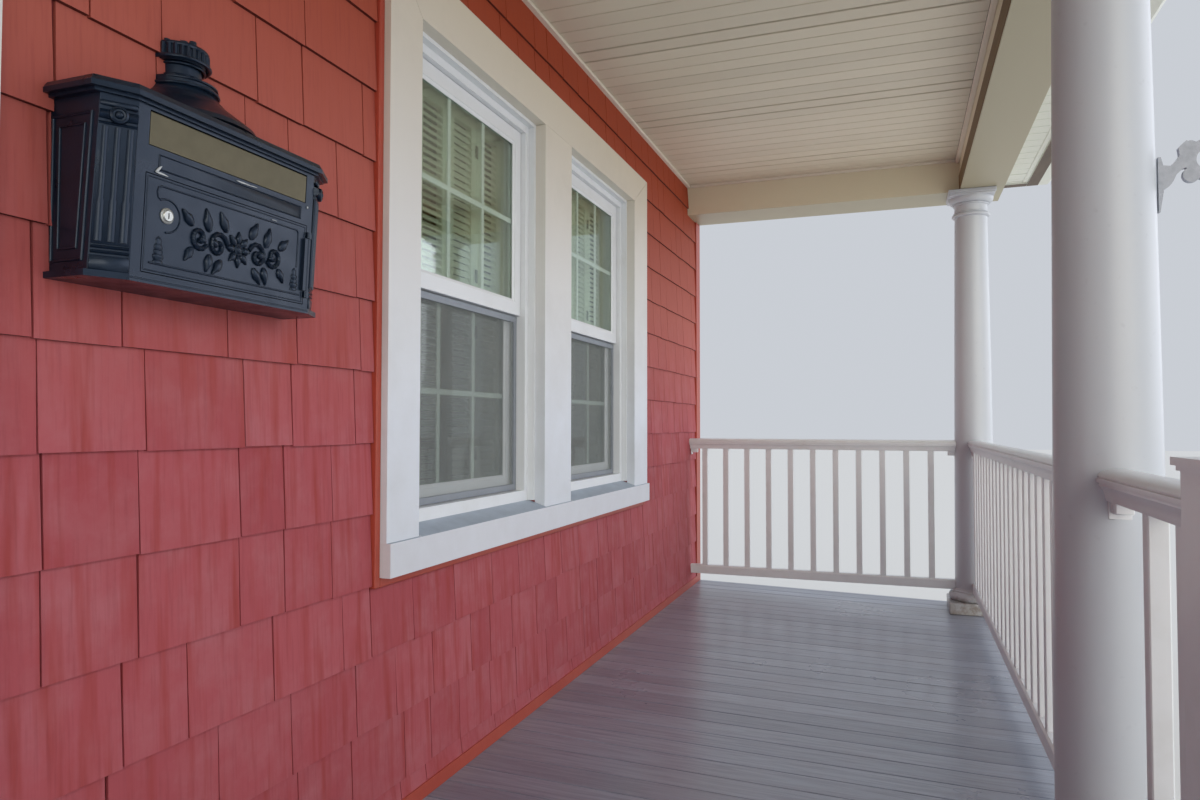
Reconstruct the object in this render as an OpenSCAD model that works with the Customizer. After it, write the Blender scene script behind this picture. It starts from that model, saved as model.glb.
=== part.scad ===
// Front porch of a shingled house: deck on piers with steps, round columns,
// balustrades, boxed beams under a hipped roof, and the house wall behind it
// with two twin windows, an entry door and a wall letter box.
// Millimetres, Z up. The front faces -Y and the house wall is on the +Y side.
// The origin is on the ground, in the middle of the whole porch.

/* [Overall] */
// Half the length of the wall, deck and beams
half_length = 4980; // [4000:10:6000]
// Depth from the wall face to the column line
column_setback = 1613; // [1200:1:2400]
// Height of the deck above the ground at the columns
deck_height = 570; // [300:1:900]
// Rise of the deck from the columns to the wall, for drainage
deck_fall = 30; // [0:1:60]
// Thickness of the house wall
wall_thickness = 150; // [100:1:300]
// Height of the ceiling above the deck at the columns
ceiling_height = 2500; // [2200:1:3000]

/* [Columns] */
// Distance of the inner columns from the porch centre
inner_column = 1700; // [1200:1:2400]
// Distance of the end columns from the porch centre
end_column = 4760; // [3600:1:5600]
// Height of a column with base and capital
column_height = 2320; // [2000:1:2800]
// Shaft radius above the base
shaft_radius_low = 104; // [70:1:160]
// Shaft radius under the capital
shaft_radius_top = 84; // [60:1:150]
// Side of the square plinth
plinth_side = 280; // [200:1:400]
// Side of the square abacus
abacus_side = 242; // [180:1:360]

/* [Beams and eaves] */
// Height of the boxed beams
beam_height = 235; // [150:1:400]
// Width of the boxed beam along the front
front_beam_width = 222; // [150:1:400]
// Width of the boxed beams at the two ends
beam_width = 280; // [150:1:400]
// Distance from the column centre to the beam's inner face
beam_inset = 60; // [0:1:140]
// Width of the eave beyond the beam
eave_width = 180; // [100:1:500]
// Height of the fascia board
fascia_height = 150; // [100:1:250]
// Roof rise for each mm of run
roof_pitch = 0.28; // [0.1:0.01:0.8]
// Thickness of the roof panels
roof_thickness = 40; // [20:1:80]

/* [Rails] */
// Height of the handrail top above the deck
rail_height = 940; // [850:1:1100]
// Width of the handrail
handrail_width = 76; // [50:1:120]
// Height of the handrail
handrail_depth = 62; // [40:1:90]
// Side of a baluster
baluster_side = 32; // [20:1:50]
// Spacing of the balusters
baluster_spacing = 129; // [90:1:150]
// Height of the gap under the bottom rail
bottom_rail_gap = 115; // [50:1:150]
// Distance of the newel posts from the porch centre
newel_place = 1010; // [800:1:1400]
// Side of a newel post
newel_side = 100; // [80:1:150]

/* [Windows] */
// Distance of the twin window's centre from the porch centre
window_place = 2565; // [1800:1:3600]
// Width of one window between its casings
window_width = 812; // [600:1:1200]
// Height of one window between sill and head
window_height = 1367; // [1000:1:1700]
// Height of the sill above the deck
sill_height = 733; // [500:1:1000]
// Width of the side casings next to the door
casing_width = 145; // [80:1:220]
// Width of the side casings next to the corners
wide_casing = 210; // [80:1:260]
// Width of the mullion casing between the two windows
mullion_width = 250; // [80:1:320]
// Thickness of the casing boards
casing_thickness = 38; // [15:1:50]

/* [Letter box] */
// Distance of the letter box centre from the porch centre
box_place = 892; // [800:1:1200]
// Width of the letter box
box_width = 491; // [300:1:600]
// Depth of the letter box at its top
box_depth = 131; // [90:1:180]
// How much shallower the letter box is at its floor
box_taper = 15; // [0:1:40]
// Height of the letter box floor above the deck
box_floor = 1242; // [900:1:1500]
// Height of the letter box walls
box_height = 273; // [200:1:400]

/* [Hidden] */
$fn = 32;
gap = 2;
small_gap = 1.5;
stair_run = 280;
deck_edge = column_setback + 247;
face_y = (deck_edge + 2 * stair_run - wall_thickness) / 2;
back_y = face_y + wall_thickness;
column_y = face_y - column_setback;
front_y = face_y - deck_edge;
wall_deck = deck_height + deck_fall;
deck_board = 25;
floor_low = wall_deck - deck_board;
ceiling_z = deck_height + ceiling_height;
beam_low = deck_height + column_height;
beam_top = beam_low + beam_height;
beam_in_y = column_y + beam_inset;
beam_out_y = beam_in_y - front_beam_width;
beam_in_x = end_column - beam_inset;
beam_out_x = beam_in_x + beam_width;
eave_y = beam_out_y - eave_width;
eave_x = beam_out_x + eave_width;
soffit_z = ceiling_z - 30;
fascia_thick = 62;
fascia_low = soffit_z - 15;
fascia_top = fascia_low + fascia_height;
drip = 20;
roof_y = eave_y - fascia_thick - drip;
roof_x = eave_x + fascia_thick + drip;
roof_run = face_y - roof_y;
roof_rise = roof_run * roof_pitch;
roof_angle = atan(roof_pitch);
wall_top = fascia_top + roof_rise + 110;
sill_z = deck_height + sill_height;
head_z = sill_z + window_height;
window_half = window_width + mullion_width / 2;
apron_height = 84;
sill_slope = 24;
head_casing = 145;
door_half = 470;
door_casing = 80;
door_head = head_z;
box_z = deck_height + box_floor;
box_wall = 5;
box_half = box_width / 2;
box_near = box_half - 46;
box_lean = atan(box_taper / box_height);
box_door_left = -180;
box_door_right = 185;
box_door_low = 18;
box_door_high = 170;
slot_half = 177.5;
slot_low = 215;
slot_high = 266.5;
columns_x = [-end_column, -inner_column, inner_column, end_column];
rail_top = deck_height + rail_height;
rail_under = rail_top - handrail_depth;
rail_low = deck_height + bottom_rail_gap;
bottom_rail_height = 52;
bottom_rail_width = 44;

white = [0.90, 0.91, 0.92];
red = [0.62, 0.28, 0.27];
grey = [0.43, 0.42, 0.46];
black = [0.10, 0.11, 0.13];

// A box given by its low corner and high corner.
module block(low, high) {
    translate(low)
        cube(high - low);
}

// The same shape on both ends of the porch.
module both_ends() {
    children();
    mirror([1, 0, 0])
        children();
}

// House wall

module foundation() {
    color([0.62, 0.61, 0.59])
        block([-half_length, face_y, 0], [half_length, back_y, floor_low]);
}

module wall_piers() {
    near_edge = window_place - window_half;
    far_edge = window_place + window_half;
    color(red)
        both_ends() {
            block([door_half, face_y, floor_low], [near_edge, back_y, wall_top]);
            block([far_edge, face_y, floor_low], [half_length, back_y, wall_top]);
            block([window_place - mullion_width / 2, face_y, sill_z], [window_place + mullion_width / 2, back_y, head_z]);
        }
}

module wall_under_windows() {
    color(red)
        both_ends()
            block([window_place - window_half, face_y, floor_low], [window_place + window_half, back_y, sill_z]);
}

module wall_over_openings() {
    color(red) {
        both_ends()
            block([window_place - window_half, face_y, head_z], [window_place + window_half, back_y, wall_top]);
        block([-door_half, face_y, door_head], [door_half, back_y, wall_top]);
    }
}

module corner_boards() {
    color(red)
        both_ends()
            block([half_length - 95, face_y - 18, wall_deck], [half_length, face_y, beam_low - gap]);
}

module base_trim() {
    color(red)
        both_ends()
            block([door_half + door_casing, face_y - 18, wall_deck], [half_length - 95, face_y, wall_deck + 38]);
}

// Entry door

module door_casing() {
    color(white)
        difference() {
            block([-door_half - door_casing, face_y - casing_thickness, wall_deck],
                [door_half + door_casing, face_y + 100, door_head + 110]);
            block([-door_half + 18, face_y - 50, wall_deck - 1], [door_half - 18, face_y + 120, door_head - 18]);
            block([-door_half - door_casing - 1, face_y, wall_deck - 1], [-door_half, face_y + 120, door_head + 120]);
            block([door_half, face_y, wall_deck - 1], [door_half + door_casing + 1, face_y + 120, door_head + 120]);
            block([-door_half - 1, face_y, door_head], [door_half + 1, face_y + 120, door_head + 120]);
        }
}

module front_door() {
    leaf_half = door_half - 21;
    low = wall_deck + 28;
    high = door_head - 21;
    color(white)
        difference() {
            block([-leaf_half, face_y + 45, low], [leaf_half, face_y + 89, high]);
            for (x = [-leaf_half + 110, 55])
                for (z = [[low + 200, low + 800], [low + 980, high - 130]])
                    block([x, face_y + 44, z[0]], [x + leaf_half - 165, face_y + 55, z[1]]);
        }
}

module door_sill() {
    color([0.55, 0.54, 0.52])
        block([-door_half + 18, face_y - 25, wall_deck], [door_half - 18, face_y + 100, wall_deck + 25]);
}

// Twin windows

// Side, mullion and head casings, mitred at the upper corners.
module window_casings() {
    near = -window_half - casing_width;
    far = window_half + wide_casing;
    top = head_z + head_casing;
    color(white)
        both_ends()
            translate([window_place, face_y, 0])
                rotate([90, 0, 0])
                    linear_extrude(casing_thickness) {
                        polygon([[near, sill_z], [-window_half, sill_z], [-window_half, head_z - 1], [near, top - 1]]);
                        polygon([[far, sill_z], [window_half, sill_z], [window_half, head_z - 1], [far, top - 1]]);
                        polygon([[-mullion_width / 2, sill_z], [mullion_width / 2, sill_z],
                            [mullion_width / 2, head_z - 1], [-mullion_width / 2, head_z - 1]]);
                        polygon([[-window_half + 1, head_z], [window_half - 1, head_z], [far - 1, top], [near + 1, top]]);
                    }
}

// Sloped sills with their aprons.
module window_sills() {
    near = window_place - window_half - casing_width;
    front = face_y - casing_thickness - 12;
    color(white)
        both_ends() {
            translate([near, 0, 0])
                rotate([90, 0, 90])
                    linear_extrude(2 * window_half + casing_width + wide_casing)
                        polygon([[front, sill_z - apron_height], [face_y, sill_z - apron_height], [face_y, sill_z], [front, sill_z]]);
            for (s = [-1, 1])
                translate([window_place + s * (mullion_width + window_width) / 2 - window_width / 2, 0, 0])
                    rotate([90, 0, 90])
                        linear_extrude(window_width)
                            polygon([[front + 2, sill_z], [face_y + 24, sill_z + sill_slope], [face_y + 110, sill_z + sill_slope],
                                [face_y + 110, sill_z], [face_y, sill_z], [face_y, sill_z - 6], [front + 2, sill_z - 6]]);
        }
}

// A rectangular frame standing in the XZ plane.
module frame_xz(half, low, high, member, near_y, far_y) {
    difference() {
        block([-half, near_y, low], [half, far_y, high]);
        block([-half + member, near_y - 1, low + member], [half - member, far_y + 1, high - member]);
    }
}

module at_windows() {
    both_ends()
        for (s = [-1, 1])
            translate([window_place + s * (mullion_width + window_width) / 2, 0, 0])
                children();
}

frame_low = sill_z + sill_slope;
frame_member = 36;
sash_half = window_width / 2 - frame_member - gap;
sash_member = 44;
meeting_z = (frame_low + head_z) / 2;

// Each frame has a thin lining that reaches forward to the casings.
module window_frames() {
    half = window_width / 2;
    lining = 12;
    color(white)
        at_windows() {
            frame_xz(half, frame_low, head_z, frame_member, face_y + 24, face_y + 110);
            for (x = [-half, half - lining])
                block([x, face_y, frame_low], [x + lining, face_y + 25, head_z]);
            block([-half, face_y, head_z - lining], [half, face_y + 25, head_z]);
        }
}

module upper_sashes() {
    color(white)
        at_windows()
            frame_xz(sash_half, meeting_z - 20, head_z - frame_member - gap, sash_member, face_y + 42, face_y + 70);
}

module lower_sashes() {
    color(white)
        at_windows()
            frame_xz(sash_half, frame_low + frame_member + gap, meeting_z + 22, sash_member, face_y + 74, face_y + 102);
}

module window_glass() {
    pane_half = sash_half - sash_member;
    color([0.55, 0.62, 0.64, 0.4])
        at_windows() {
            block([-pane_half, face_y + 50, meeting_z - 20 + sash_member],
                [pane_half, face_y + 62, head_z - frame_member - gap - sash_member]);
            block([-pane_half, face_y + 82, frame_low + frame_member + gap + sash_member],
                [pane_half, face_y + 94, meeting_z + 22 - sash_member]);
        }
}

module half_screens() {
    color([0.42, 0.43, 0.45])
        at_windows()
            frame_xz(sash_half, frame_low + frame_member + gap, meeting_z - 24, 20, face_y + 56, face_y + 66);
}

// Four hinged leaves behind each window, each with two slatted fields.
module shutters() {
    panel = (sash_half - 3) / 2;
    stile = 34;
    low = frame_low + 40;
    high = head_z - 40;
    color([0.84, 0.83, 0.76])
        at_windows()
            for (i = [-1.5, -0.5, 0.5, 1.5])
                translate([i * (panel + gap), face_y + 120, 0])
                    difference() {
                        block([-panel / 2, 0, low], [panel / 2, 22, high]);
                        for (z = [[low + 60, meeting_z - 25], [meeting_z + 25, high - 45]])
                            block([-panel / 2 + stile, -1, z[0]], [panel / 2 - stile, 23, z[1]]);
                    }
}

// Deck and what carries it

module deck() {
    flat_y = column_y + plinth_side / 2 + 10;
    color(grey)
        translate([-half_length, 0, 0])
            rotate([90, 0, 90])
                linear_extrude(2 * half_length)
                    polygon([[front_y, deck_height], [flat_y, deck_height], [face_y, wall_deck],
                        [face_y, wall_deck - deck_board], [flat_y, deck_height - deck_board],
                        [front_y, deck_height - deck_board]]);
}

rim_back = front_y + 30;
frame_depth = 185;

module deck_beams() {
    top = deck_height - deck_board;
    color([0.78, 0.78, 0.78])
        block([-half_length + 20, rim_back, top - frame_depth], [half_length - 20, rim_back + 40, top]);
    color([0.60, 0.50, 0.38])
        block([-half_length + 20, face_y - 40, wall_deck - deck_board - frame_depth],
            [half_length - 20, face_y, wall_deck - deck_board - 1]);
}

module deck_joists() {
    flat_y = column_y + plinth_side / 2 + 10;
    low = deck_height - deck_board - frame_depth;
    count = 17;
    pitch = (2 * half_length - 80) / (count - 1);
    color([0.60, 0.50, 0.38])
        for (i = [0 : count - 1])
            translate([-half_length + 20 + i * pitch, 0, 0])
                rotate([90, 0, 90])
                    linear_extrude(40)
                        polygon([[rim_back + 40, low], [rim_back + 40, deck_height - deck_board],
                            [flat_y, deck_height - deck_board], [face_y - 40, wall_deck - deck_board - deck_fall * 40 / 1450],
                            [face_y - 40, low + 20]]);
}

module deck_piers() {
    color([0.60, 0.59, 0.57])
        for (x = [-end_column, -inner_column, inner_column, end_column])
            block([x - 150, column_y - 150, 0], [x + 150, column_y + 150, deck_height - deck_board - frame_depth]);
}

module skirt_boards() {
    high = deck_height - deck_board - frame_depth;
    color(white)
        both_ends() {
            block([inner_column + 152, rim_back + 8, 15], [end_column - 152, rim_back + 28, high]);
            block([newel_place + 60, rim_back + 8, 15], [inner_column - 152, rim_back + 28, high]);
            block([half_length - 48, column_y + 152, 15], [half_length - 28, face_y - 45, high]);
        }
}

// Steps

stair_half = newel_place - newel_side / 2 - 10;
riser = deck_height / 3;
tread_board = 32;

module stair_treads() {
    color(grey)
        for (i = [1, 2])
            block([-stair_half, front_y - i * stair_run, deck_height - i * riser - tread_board],
                [stair_half, front_y - (i - 1) * stair_run + 8, deck_height - i * riser]);
}

module stair_risers() {
    color(white)
        for (i = [0, 1, 2])
            block([-stair_half, front_y + 10 - i * stair_run + (i > 0 ? 10 : 0), i == 2 ? 0 : deck_height - (i + 1) * riser],
                [stair_half, front_y + 28 - i * stair_run + (i > 0 ? 10 : 0),
                    i == 0 ? deck_height - deck_board : deck_height - i * riser - tread_board]);
}

module stair_stringers() {
    color([0.60, 0.50, 0.38])
        for (x = [-stair_half, -20, stair_half - 40])
            for (i = [1, 2])
                block([x, front_y + 40 - i * stair_run, 0],
                    [x + 40, front_y + 16 - (i - 1) * stair_run, deck_height - i * riser - tread_board]);
}

// Columns

module at_columns() {
    for (x = columns_x)
        translate([x, column_y, 0])
            children();
}

base_top = deck_height + 128;
capital_low = deck_height + column_height - 140;

module column_bases() {
    half = plinth_side / 2;
    color(white)
        at_columns() {
            block([-half, -half, deck_height], [half, half, deck_height + 62]);
            rotate_extrude($fn = 40)
                polygon([[0, deck_height + 62], [124, deck_height + 62], [133, deck_height + 67], [137, deck_height + 77],
                    [137, deck_height + 87], [132, deck_height + 98], [123, deck_height + 105], [117, deck_height + 107],
                    [117, deck_height + 117], [111, deck_height + 119], [107, deck_height + 123],
                    [105, base_top], [0, base_top]]);
        }
}

module column_shafts() {
    low = base_top;
    span = capital_low - low;
    swell = shaft_radius_low - shaft_radius_top;
    color(white)
        at_columns()
            rotate_extrude($fn = 40)
                polygon([[0, low], [shaft_radius_low, low], [shaft_radius_low - swell * 0.2, low + span * 0.33],
                    [shaft_radius_low - swell * 0.54, low + span * 0.67], [shaft_radius_top, capital_low], [0, capital_low]]);
}

module column_capitals() {
    half = abacus_side / 2;
    low = capital_low;
    top = deck_height + column_height;
    color(white)
        at_columns() {
            rotate_extrude($fn = 40)
                polygon([[0, low], [shaft_radius_top, low], [94, low + 3], [98, low + 10], [98, low + 16], [94, low + 23],
                    [86, low + 26], [85, low + 64], [92, low + 67], [92, low + 75], [98, low + 78], [108, low + 88],
                    [115, low + 100], [118, low + 108], [0, low + 108]]);
            block([-half, -half, low + 108], [half, half, top]);
        }
}

// Rails

module handrail_section() {
    w = handrail_width / 2;
    d = handrail_depth;
    polygon([[-w * 0.58, 0], [w * 0.58, 0], [w * 0.60, d * 0.08], [w * 0.70, d * 0.30], [w * 0.92, d * 0.46],
        [w * 0.92, d * 0.54], [w, d * 0.58], [w, d * 0.72], [w * 0.86, d * 0.86], [w * 0.55, d * 0.96], [w * 0.2, d],
        [-w * 0.2, d], [-w * 0.55, d * 0.96], [-w * 0.86, d * 0.86], [-w, d * 0.72], [-w, d * 0.58], [-w * 0.92, d * 0.54],
        [-w * 0.92, d * 0.46], [-w * 0.70, d * 0.30], [-w * 0.60, d * 0.08]]);
}

// A rail panel along X from start to end, balusters counted from a first place.
module rail_panel(start, end, first, count, spacing = baluster_spacing) {
    translate([start, 0, rail_under])
        rotate([90, 0, 90])
            linear_extrude(end - start)
                handrail_section();
    block([start, -bottom_rail_width / 2, rail_low], [end, bottom_rail_width / 2, rail_low + bottom_rail_height]);
    for (i = [0 : count - 1])
        translate([first + i * spacing, 0, 0])
            block([-baluster_side / 2, -baluster_side / 2, rail_low + bottom_rail_height - 5],
                [baluster_side / 2, baluster_side / 2, rail_under + 5]);
}

// What the round shaft takes out of a rail end.
module shaft_cope() {
    translate([0, 0, deck_height]) {
        cylinder(r = shaft_radius_low + 1, h = rail_height + 60, $fn = 40);
        cylinder(r = 118, h = 129, $fn = 40);
    }
}

module front_rails() {
    inner_face = inner_column + 60;
    outer_face = end_column - 60;
    count = 22;
    first = (inner_column + end_column) / 2 - (count - 1) * baluster_spacing / 2;
    color(white)
        both_ends()
            difference() {
                translate([0, column_y, 0])
                    rail_panel(inner_face, outer_face, first, count);
                translate([inner_column, column_y, 0])
                    shaft_cope();
                translate([end_column, column_y, 0])
                    shaft_cope();
            }
}

module stair_side_rails() {
    start = newel_place + newel_side / 2;
    color(white)
        both_ends()
            difference() {
                translate([0, column_y, 0])
                    rail_panel(start, inner_column - 60, start + 137, 2, 174);
                translate([inner_column, column_y, 0])
                    shaft_cope();
            }
}

module end_rails() {
    color(white)
        both_ends()
            translate([end_column, 0, 0])
                difference() {
                    rotate([0, 0, 90])
                        rail_panel(column_y + 60, face_y, face_y - 101 - 10 * baluster_spacing, 11);
                    translate([0, column_y, 0])
                        shaft_cope();
                }
}

module newel_posts() {
    half = newel_side / 2;
    color(white)
        both_ends()
            translate([newel_place, column_y, 0]) {
                block([-half, -half, deck_height], [half, half, rail_top + 24]);
                block([-half - 4, -half - 4, rail_top + 24], [half + 4, half + 4, rail_top + 31]);
                block([-half - 9, -half - 9, rail_top + 31], [half + 9, half + 9, rail_top + 42]);
            }
}

// Ceiling, beams and eaves

module ceiling() {
    color([0.84, 0.82, 0.78])
        block([-beam_in_x, beam_in_y, ceiling_z], [beam_in_x, face_y, ceiling_z + 15]);
}

module front_beam() {
    color([0.86, 0.85, 0.80])
        block([-beam_out_x, beam_out_y, beam_low], [beam_out_x, beam_in_y, beam_top]);
}

module end_beams() {
    color([0.86, 0.85, 0.80])
        both_ends()
            block([beam_in_x, beam_in_y, beam_low], [beam_out_x, face_y, beam_top]);
}

module soffits() {
    color([0.80, 0.80, 0.76]) {
        block([-eave_x, eave_y, soffit_z], [eave_x, beam_out_y, soffit_z + 12]);
        both_ends()
            block([beam_out_x, beam_out_y + gap, soffit_z], [eave_x, face_y, soffit_z + 12]);
    }
}

module fascias() {
    color(white) {
        block([-eave_x - fascia_thick, eave_y - fascia_thick, fascia_low], [eave_x + fascia_thick, eave_y, fascia_top]);
        both_ends()
            block([eave_x, eave_y + gap, fascia_low], [eave_x + fascia_thick, face_y, fascia_top]);
    }
}

// Gutter section, open at the top, back against the fascia at x = 0.
module gutter_section() {
    polygon([[0, 0], [70, 0], [92, 22], [92, 52], [112, 74], [112, 100], [104, 100], [104, 97], [109, 97], [109, 76],
        [89, 54], [89, 24], [69, 3], [3, 3], [3, 100], [0, 100]]);
}

module gutters() {
    low = fascia_low + 30;
    out_y = eave_y - fascia_thick;
    out_x = eave_x + fascia_thick;
    color(white) {
        translate([-out_x - 112, out_y, low])
            rotate([90, 0, 90])
                linear_extrude(2 * out_x + 224)
                    mirror([1, 0])
                        gutter_section();
        both_ends()
            translate([out_x, face_y, low])
                rotate([90, 0, 0])
                    linear_extrude(face_y - out_y - gap)
                        gutter_section();
    }
}

// Roof

module roof_slab() {
    translate([-roof_x - 10, roof_y, fascia_top])
        rotate([roof_angle, 0, 0])
            cube([2 * roof_x + 20, roof_run * 1.2, roof_thickness]);
}

module roof_front() {
    color([0.28, 0.27, 0.27])
        intersection() {
            roof_slab();
            translate([0, 0, fascia_top - 50])
                linear_extrude(roof_rise + 200)
                    polygon([[-roof_x, roof_y], [roof_x, roof_y], [roof_x - roof_run, face_y], [-roof_x + roof_run, face_y]]);
        }
}

module roof_ends() {
    color([0.28, 0.27, 0.27])
        both_ends()
            intersection() {
                translate([roof_x, roof_y, fascia_top])
                    rotate([0, roof_angle, 0])
                        translate([-roof_run * 1.2, -10, 0])
                            cube([roof_run * 1.2, roof_run + 20, roof_thickness]);
                translate([0, 0, fascia_top - 50])
                    linear_extrude(roof_rise + 200)
                        polygon([[roof_x, roof_y], [roof_x, face_y], [roof_x - roof_run, face_y]]);
            }
}

// Letter box on the wall

// A thin plate of the letter box plan, given by half width, half front, side depth and front depth.
module box_plate(z, thick, half, near, side, front, back = 0) {
    translate([0, 0, z])
        linear_extrude(thick)
            polygon([[-half, -back], [-half, -side], [-near, -front], [near, -front], [half, -side], [half, -back]]);
}

module at_box() {
    translate([box_place, face_y, 0])
        children();
}

// The leaning front of the letter box, with local Y = 0 on its face and local Z = 0 at its floor.
module at_box_front() {
    translate([0, box_taper - box_depth, box_z])
        rotate([box_lean, 0, 0])
            children();
}

hinge_x = box_door_right;
knuckle_y = -4;
flap_y = 3;

module letter_box() {
    top = box_z + box_height;
    front = box_depth - box_taper;
    color(black)
        at_box() {
            difference() {
                union() {
                    hull() {
                        box_plate(box_z, 0.2, box_half, box_near, 85, front);
                        box_plate(top - 0.2, 0.2, box_half, box_near, 107, box_depth);
                    }
                    box_plate(box_z, 10, box_half + 10, box_near + 1, 92, front + 2);
                }
                hull() {
                    box_plate(box_z + box_wall, 0.2, box_half - box_wall, box_near - 3, 80, front - box_wall, box_wall);
                    box_plate(top + 1, 0.2, box_half - box_wall, box_near - 3, 102, box_depth - box_wall, box_wall);
                }
                at_box_front() {
                    block([box_door_left - small_gap, -3, box_door_low - small_gap],
                        [box_door_right + small_gap, box_wall + 2, box_door_high + small_gap]);
                    block([-slot_half - small_gap, -3, slot_low - small_gap],
                        [slot_half + small_gap, box_wall + 2, slot_high + small_gap]);
                }
            }
            at_box_front()
                for (z = [box_door_low + 12, box_door_high - 24]) {
                    translate([hinge_x + 2, knuckle_y, z])
                        cylinder(r = 3.5, h = 12);
                    block([hinge_x + 2, knuckle_y, z], [hinge_x + 12, 1, z + 12]);
                }
        }
}

// Cornice, low hipped roof and a bell crest, half round against the wall and leaning a little to one side.
module letter_box_lid() {
    top = box_z + box_height;
    color(black)
        at_box()
            difference() {
                union() {
                    box_plate(top, 6, box_half + 10, box_near + 5, 108, box_depth + 5);
                    box_plate(top + 5, 8, box_half + 18.5, box_near + 9.5, 112, box_depth + 12);
                    hull() {
                        box_plate(top + 12, 0.5, box_half + 18.5, box_near + 9.5, 112, box_depth + 12);
                        box_plate(top + 22, 0.5, box_half + 12, box_near + 6, 107, box_depth + 7);
                    }
                    hull() {
                        box_plate(top + 22, 0.5, box_half + 8, box_near + 4, 104, box_depth + 3);
                        block([-150, -30, top + 49], [150, 0, top + 50]);
                    }
                    translate([-3, 0, top])
                        rotate_extrude($fn = 40)
                            polygon([[0, 20], [133, 30], [127, 40], [114, 50], [101, 60], [81, 75], [66.5, 90], [60, 100],
                                [60, 112], [57, 116], [0, 116]]);
                    translate([-6, 0, top + 110])
                        cylinder(r = 37, h = 40);
                    translate([-10, 0, top])
                        rotate_extrude($fn = 40)
                            polygon([[0, 147], [44, 147], [48.5, 152], [48.5, 170], [44, 177], [28, 181], [0, 182]]);
                    translate([-8, 0, top + 175])
                        cylinder(r = 15, h = 20);
                }
                block([-200, 0, top - 10], [200, 200, top + 220]);
            }
}

module letter_box_door() {
    low = box_door_low + 25.5;
    high = box_door_high - 25.5;
    color(black)
        at_box()
            at_box_front() {
                block([box_door_left, 0, box_door_low], [box_door_right, box_wall, box_door_high]);
                translate([hinge_x + 2, knuckle_y, low])
                    cylinder(r = 3.5, h = high - low);
                block([hinge_x - 8, knuckle_y, low], [hinge_x, 1, high]);
                block([hinge_x - 8, knuckle_y - 2, low], [hinge_x + 2, knuckle_y + 2, high]);
            }
}

// Brass plate that swings inward from a barrel along its top edge.
module letter_flap() {
    color([0.55, 0.48, 0.32])
        at_box()
            at_box_front() {
                block([-slot_half, 0.5, slot_low], [slot_half, 3.5, slot_high - 2]);
                translate([-slot_half, flap_y, slot_high - 2.5])
                    rotate([0, 90, 0])
                        cylinder(r = 2.5, h = 2 * slot_half);
            }
}

// Cast scroll bracket on the street side of one inner column: a tapered plate, a curved arm, an open ring with two
// lobes, and a hook.
module scroll_bracket() {
    color([0.80, 0.82, 0.85])
        translate([inner_column - 6, column_y - 94, deck_height + 1450])
            rotate([0, 0, -90])
                rotate([90, 0, 0])
                    linear_extrude(12)
                        difference() {
                            union() {
                                polygon([[0, 0], [3, 0], [9, 42], [9, 94], [5, 111], [0, 111]]);
                                polygon([[6, 42], [20, 52], [26, 61], [31, 73], [42, 84], [70, 92], [64, 130], [49, 140],
                                    [42, 134], [35, 126], [37, 110], [30, 100], [21, 92], [6, 94]]);
                                translate([86, 100])
                                    circle(r = 41);
                                translate([57, 71])
                                    circle(r = 15);
                                translate([56, 127])
                                    circle(r = 12);
                                polygon([[88, 126], [150, 134], [222, 136], [222, 149], [150, 147], [86, 141]]);
                                translate([222, 128])
                                    circle(r = 21);
                            }
                            translate([86, 100])
                                circle(r = 21);
                            translate([224, 127])
                                circle(r = 10);
                            translate([217, 106])
                                rotate(-20)
                                    square([6, 18], center = true);
                        }
}

foundation();
wall_piers();
wall_under_windows();
wall_over_openings();
corner_boards();
base_trim();
door_casing();
front_door();
door_sill();
window_casings();
window_sills();
window_frames();
upper_sashes();
lower_sashes();
window_glass();
half_screens();
shutters();
deck();
deck_joists();
deck_beams();
deck_piers();
skirt_boards();
stair_treads();
stair_risers();
stair_stringers();
column_bases();
column_shafts();
column_capitals();
newel_posts();
front_rails();
stair_side_rails();
end_rails();
ceiling();
front_beam();
end_beams();
soffits();
fascias();
gutters();
roof_front();
roof_ends();
letter_box();
letter_box_lid();
letter_box_door();
letter_flap();
scroll_bracket();
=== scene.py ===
"""Front porch of a shingled house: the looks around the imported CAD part. Metres, in the part's own frame."""

import math
import random

import bpy
from mathutils import Matrix, Vector


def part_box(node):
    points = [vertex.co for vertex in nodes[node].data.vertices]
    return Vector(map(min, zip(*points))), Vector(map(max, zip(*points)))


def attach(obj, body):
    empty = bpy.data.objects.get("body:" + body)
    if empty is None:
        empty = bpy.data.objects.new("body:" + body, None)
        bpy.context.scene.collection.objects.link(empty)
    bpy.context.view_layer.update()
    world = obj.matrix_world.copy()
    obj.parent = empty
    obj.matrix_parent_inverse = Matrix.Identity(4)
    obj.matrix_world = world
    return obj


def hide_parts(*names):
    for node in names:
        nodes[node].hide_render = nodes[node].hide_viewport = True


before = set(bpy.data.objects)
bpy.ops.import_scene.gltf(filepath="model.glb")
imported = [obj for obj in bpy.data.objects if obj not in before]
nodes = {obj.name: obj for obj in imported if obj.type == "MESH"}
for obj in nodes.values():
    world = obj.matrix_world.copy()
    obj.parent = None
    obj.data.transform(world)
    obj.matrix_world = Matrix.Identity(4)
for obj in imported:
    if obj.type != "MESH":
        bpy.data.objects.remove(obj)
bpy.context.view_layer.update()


# Block foundation and deck piers
# Cast concrete with a cement wash, laid in the ground under the wall and the columns.
# Chalky grey with trowel clouds, pinholes and a darker damp foot.


def colour(code):
    """An sRGB hex colour as the linear values that a socket takes."""
    parts = [int(code[i : i + 2], 16) / 255 for i in (1, 3, 5)]
    return tuple(p / 12.92 if p <= 0.04045 else ((p + 0.055) / 1.055) ** 2.4 for p in parts) + (1.0,)


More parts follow.
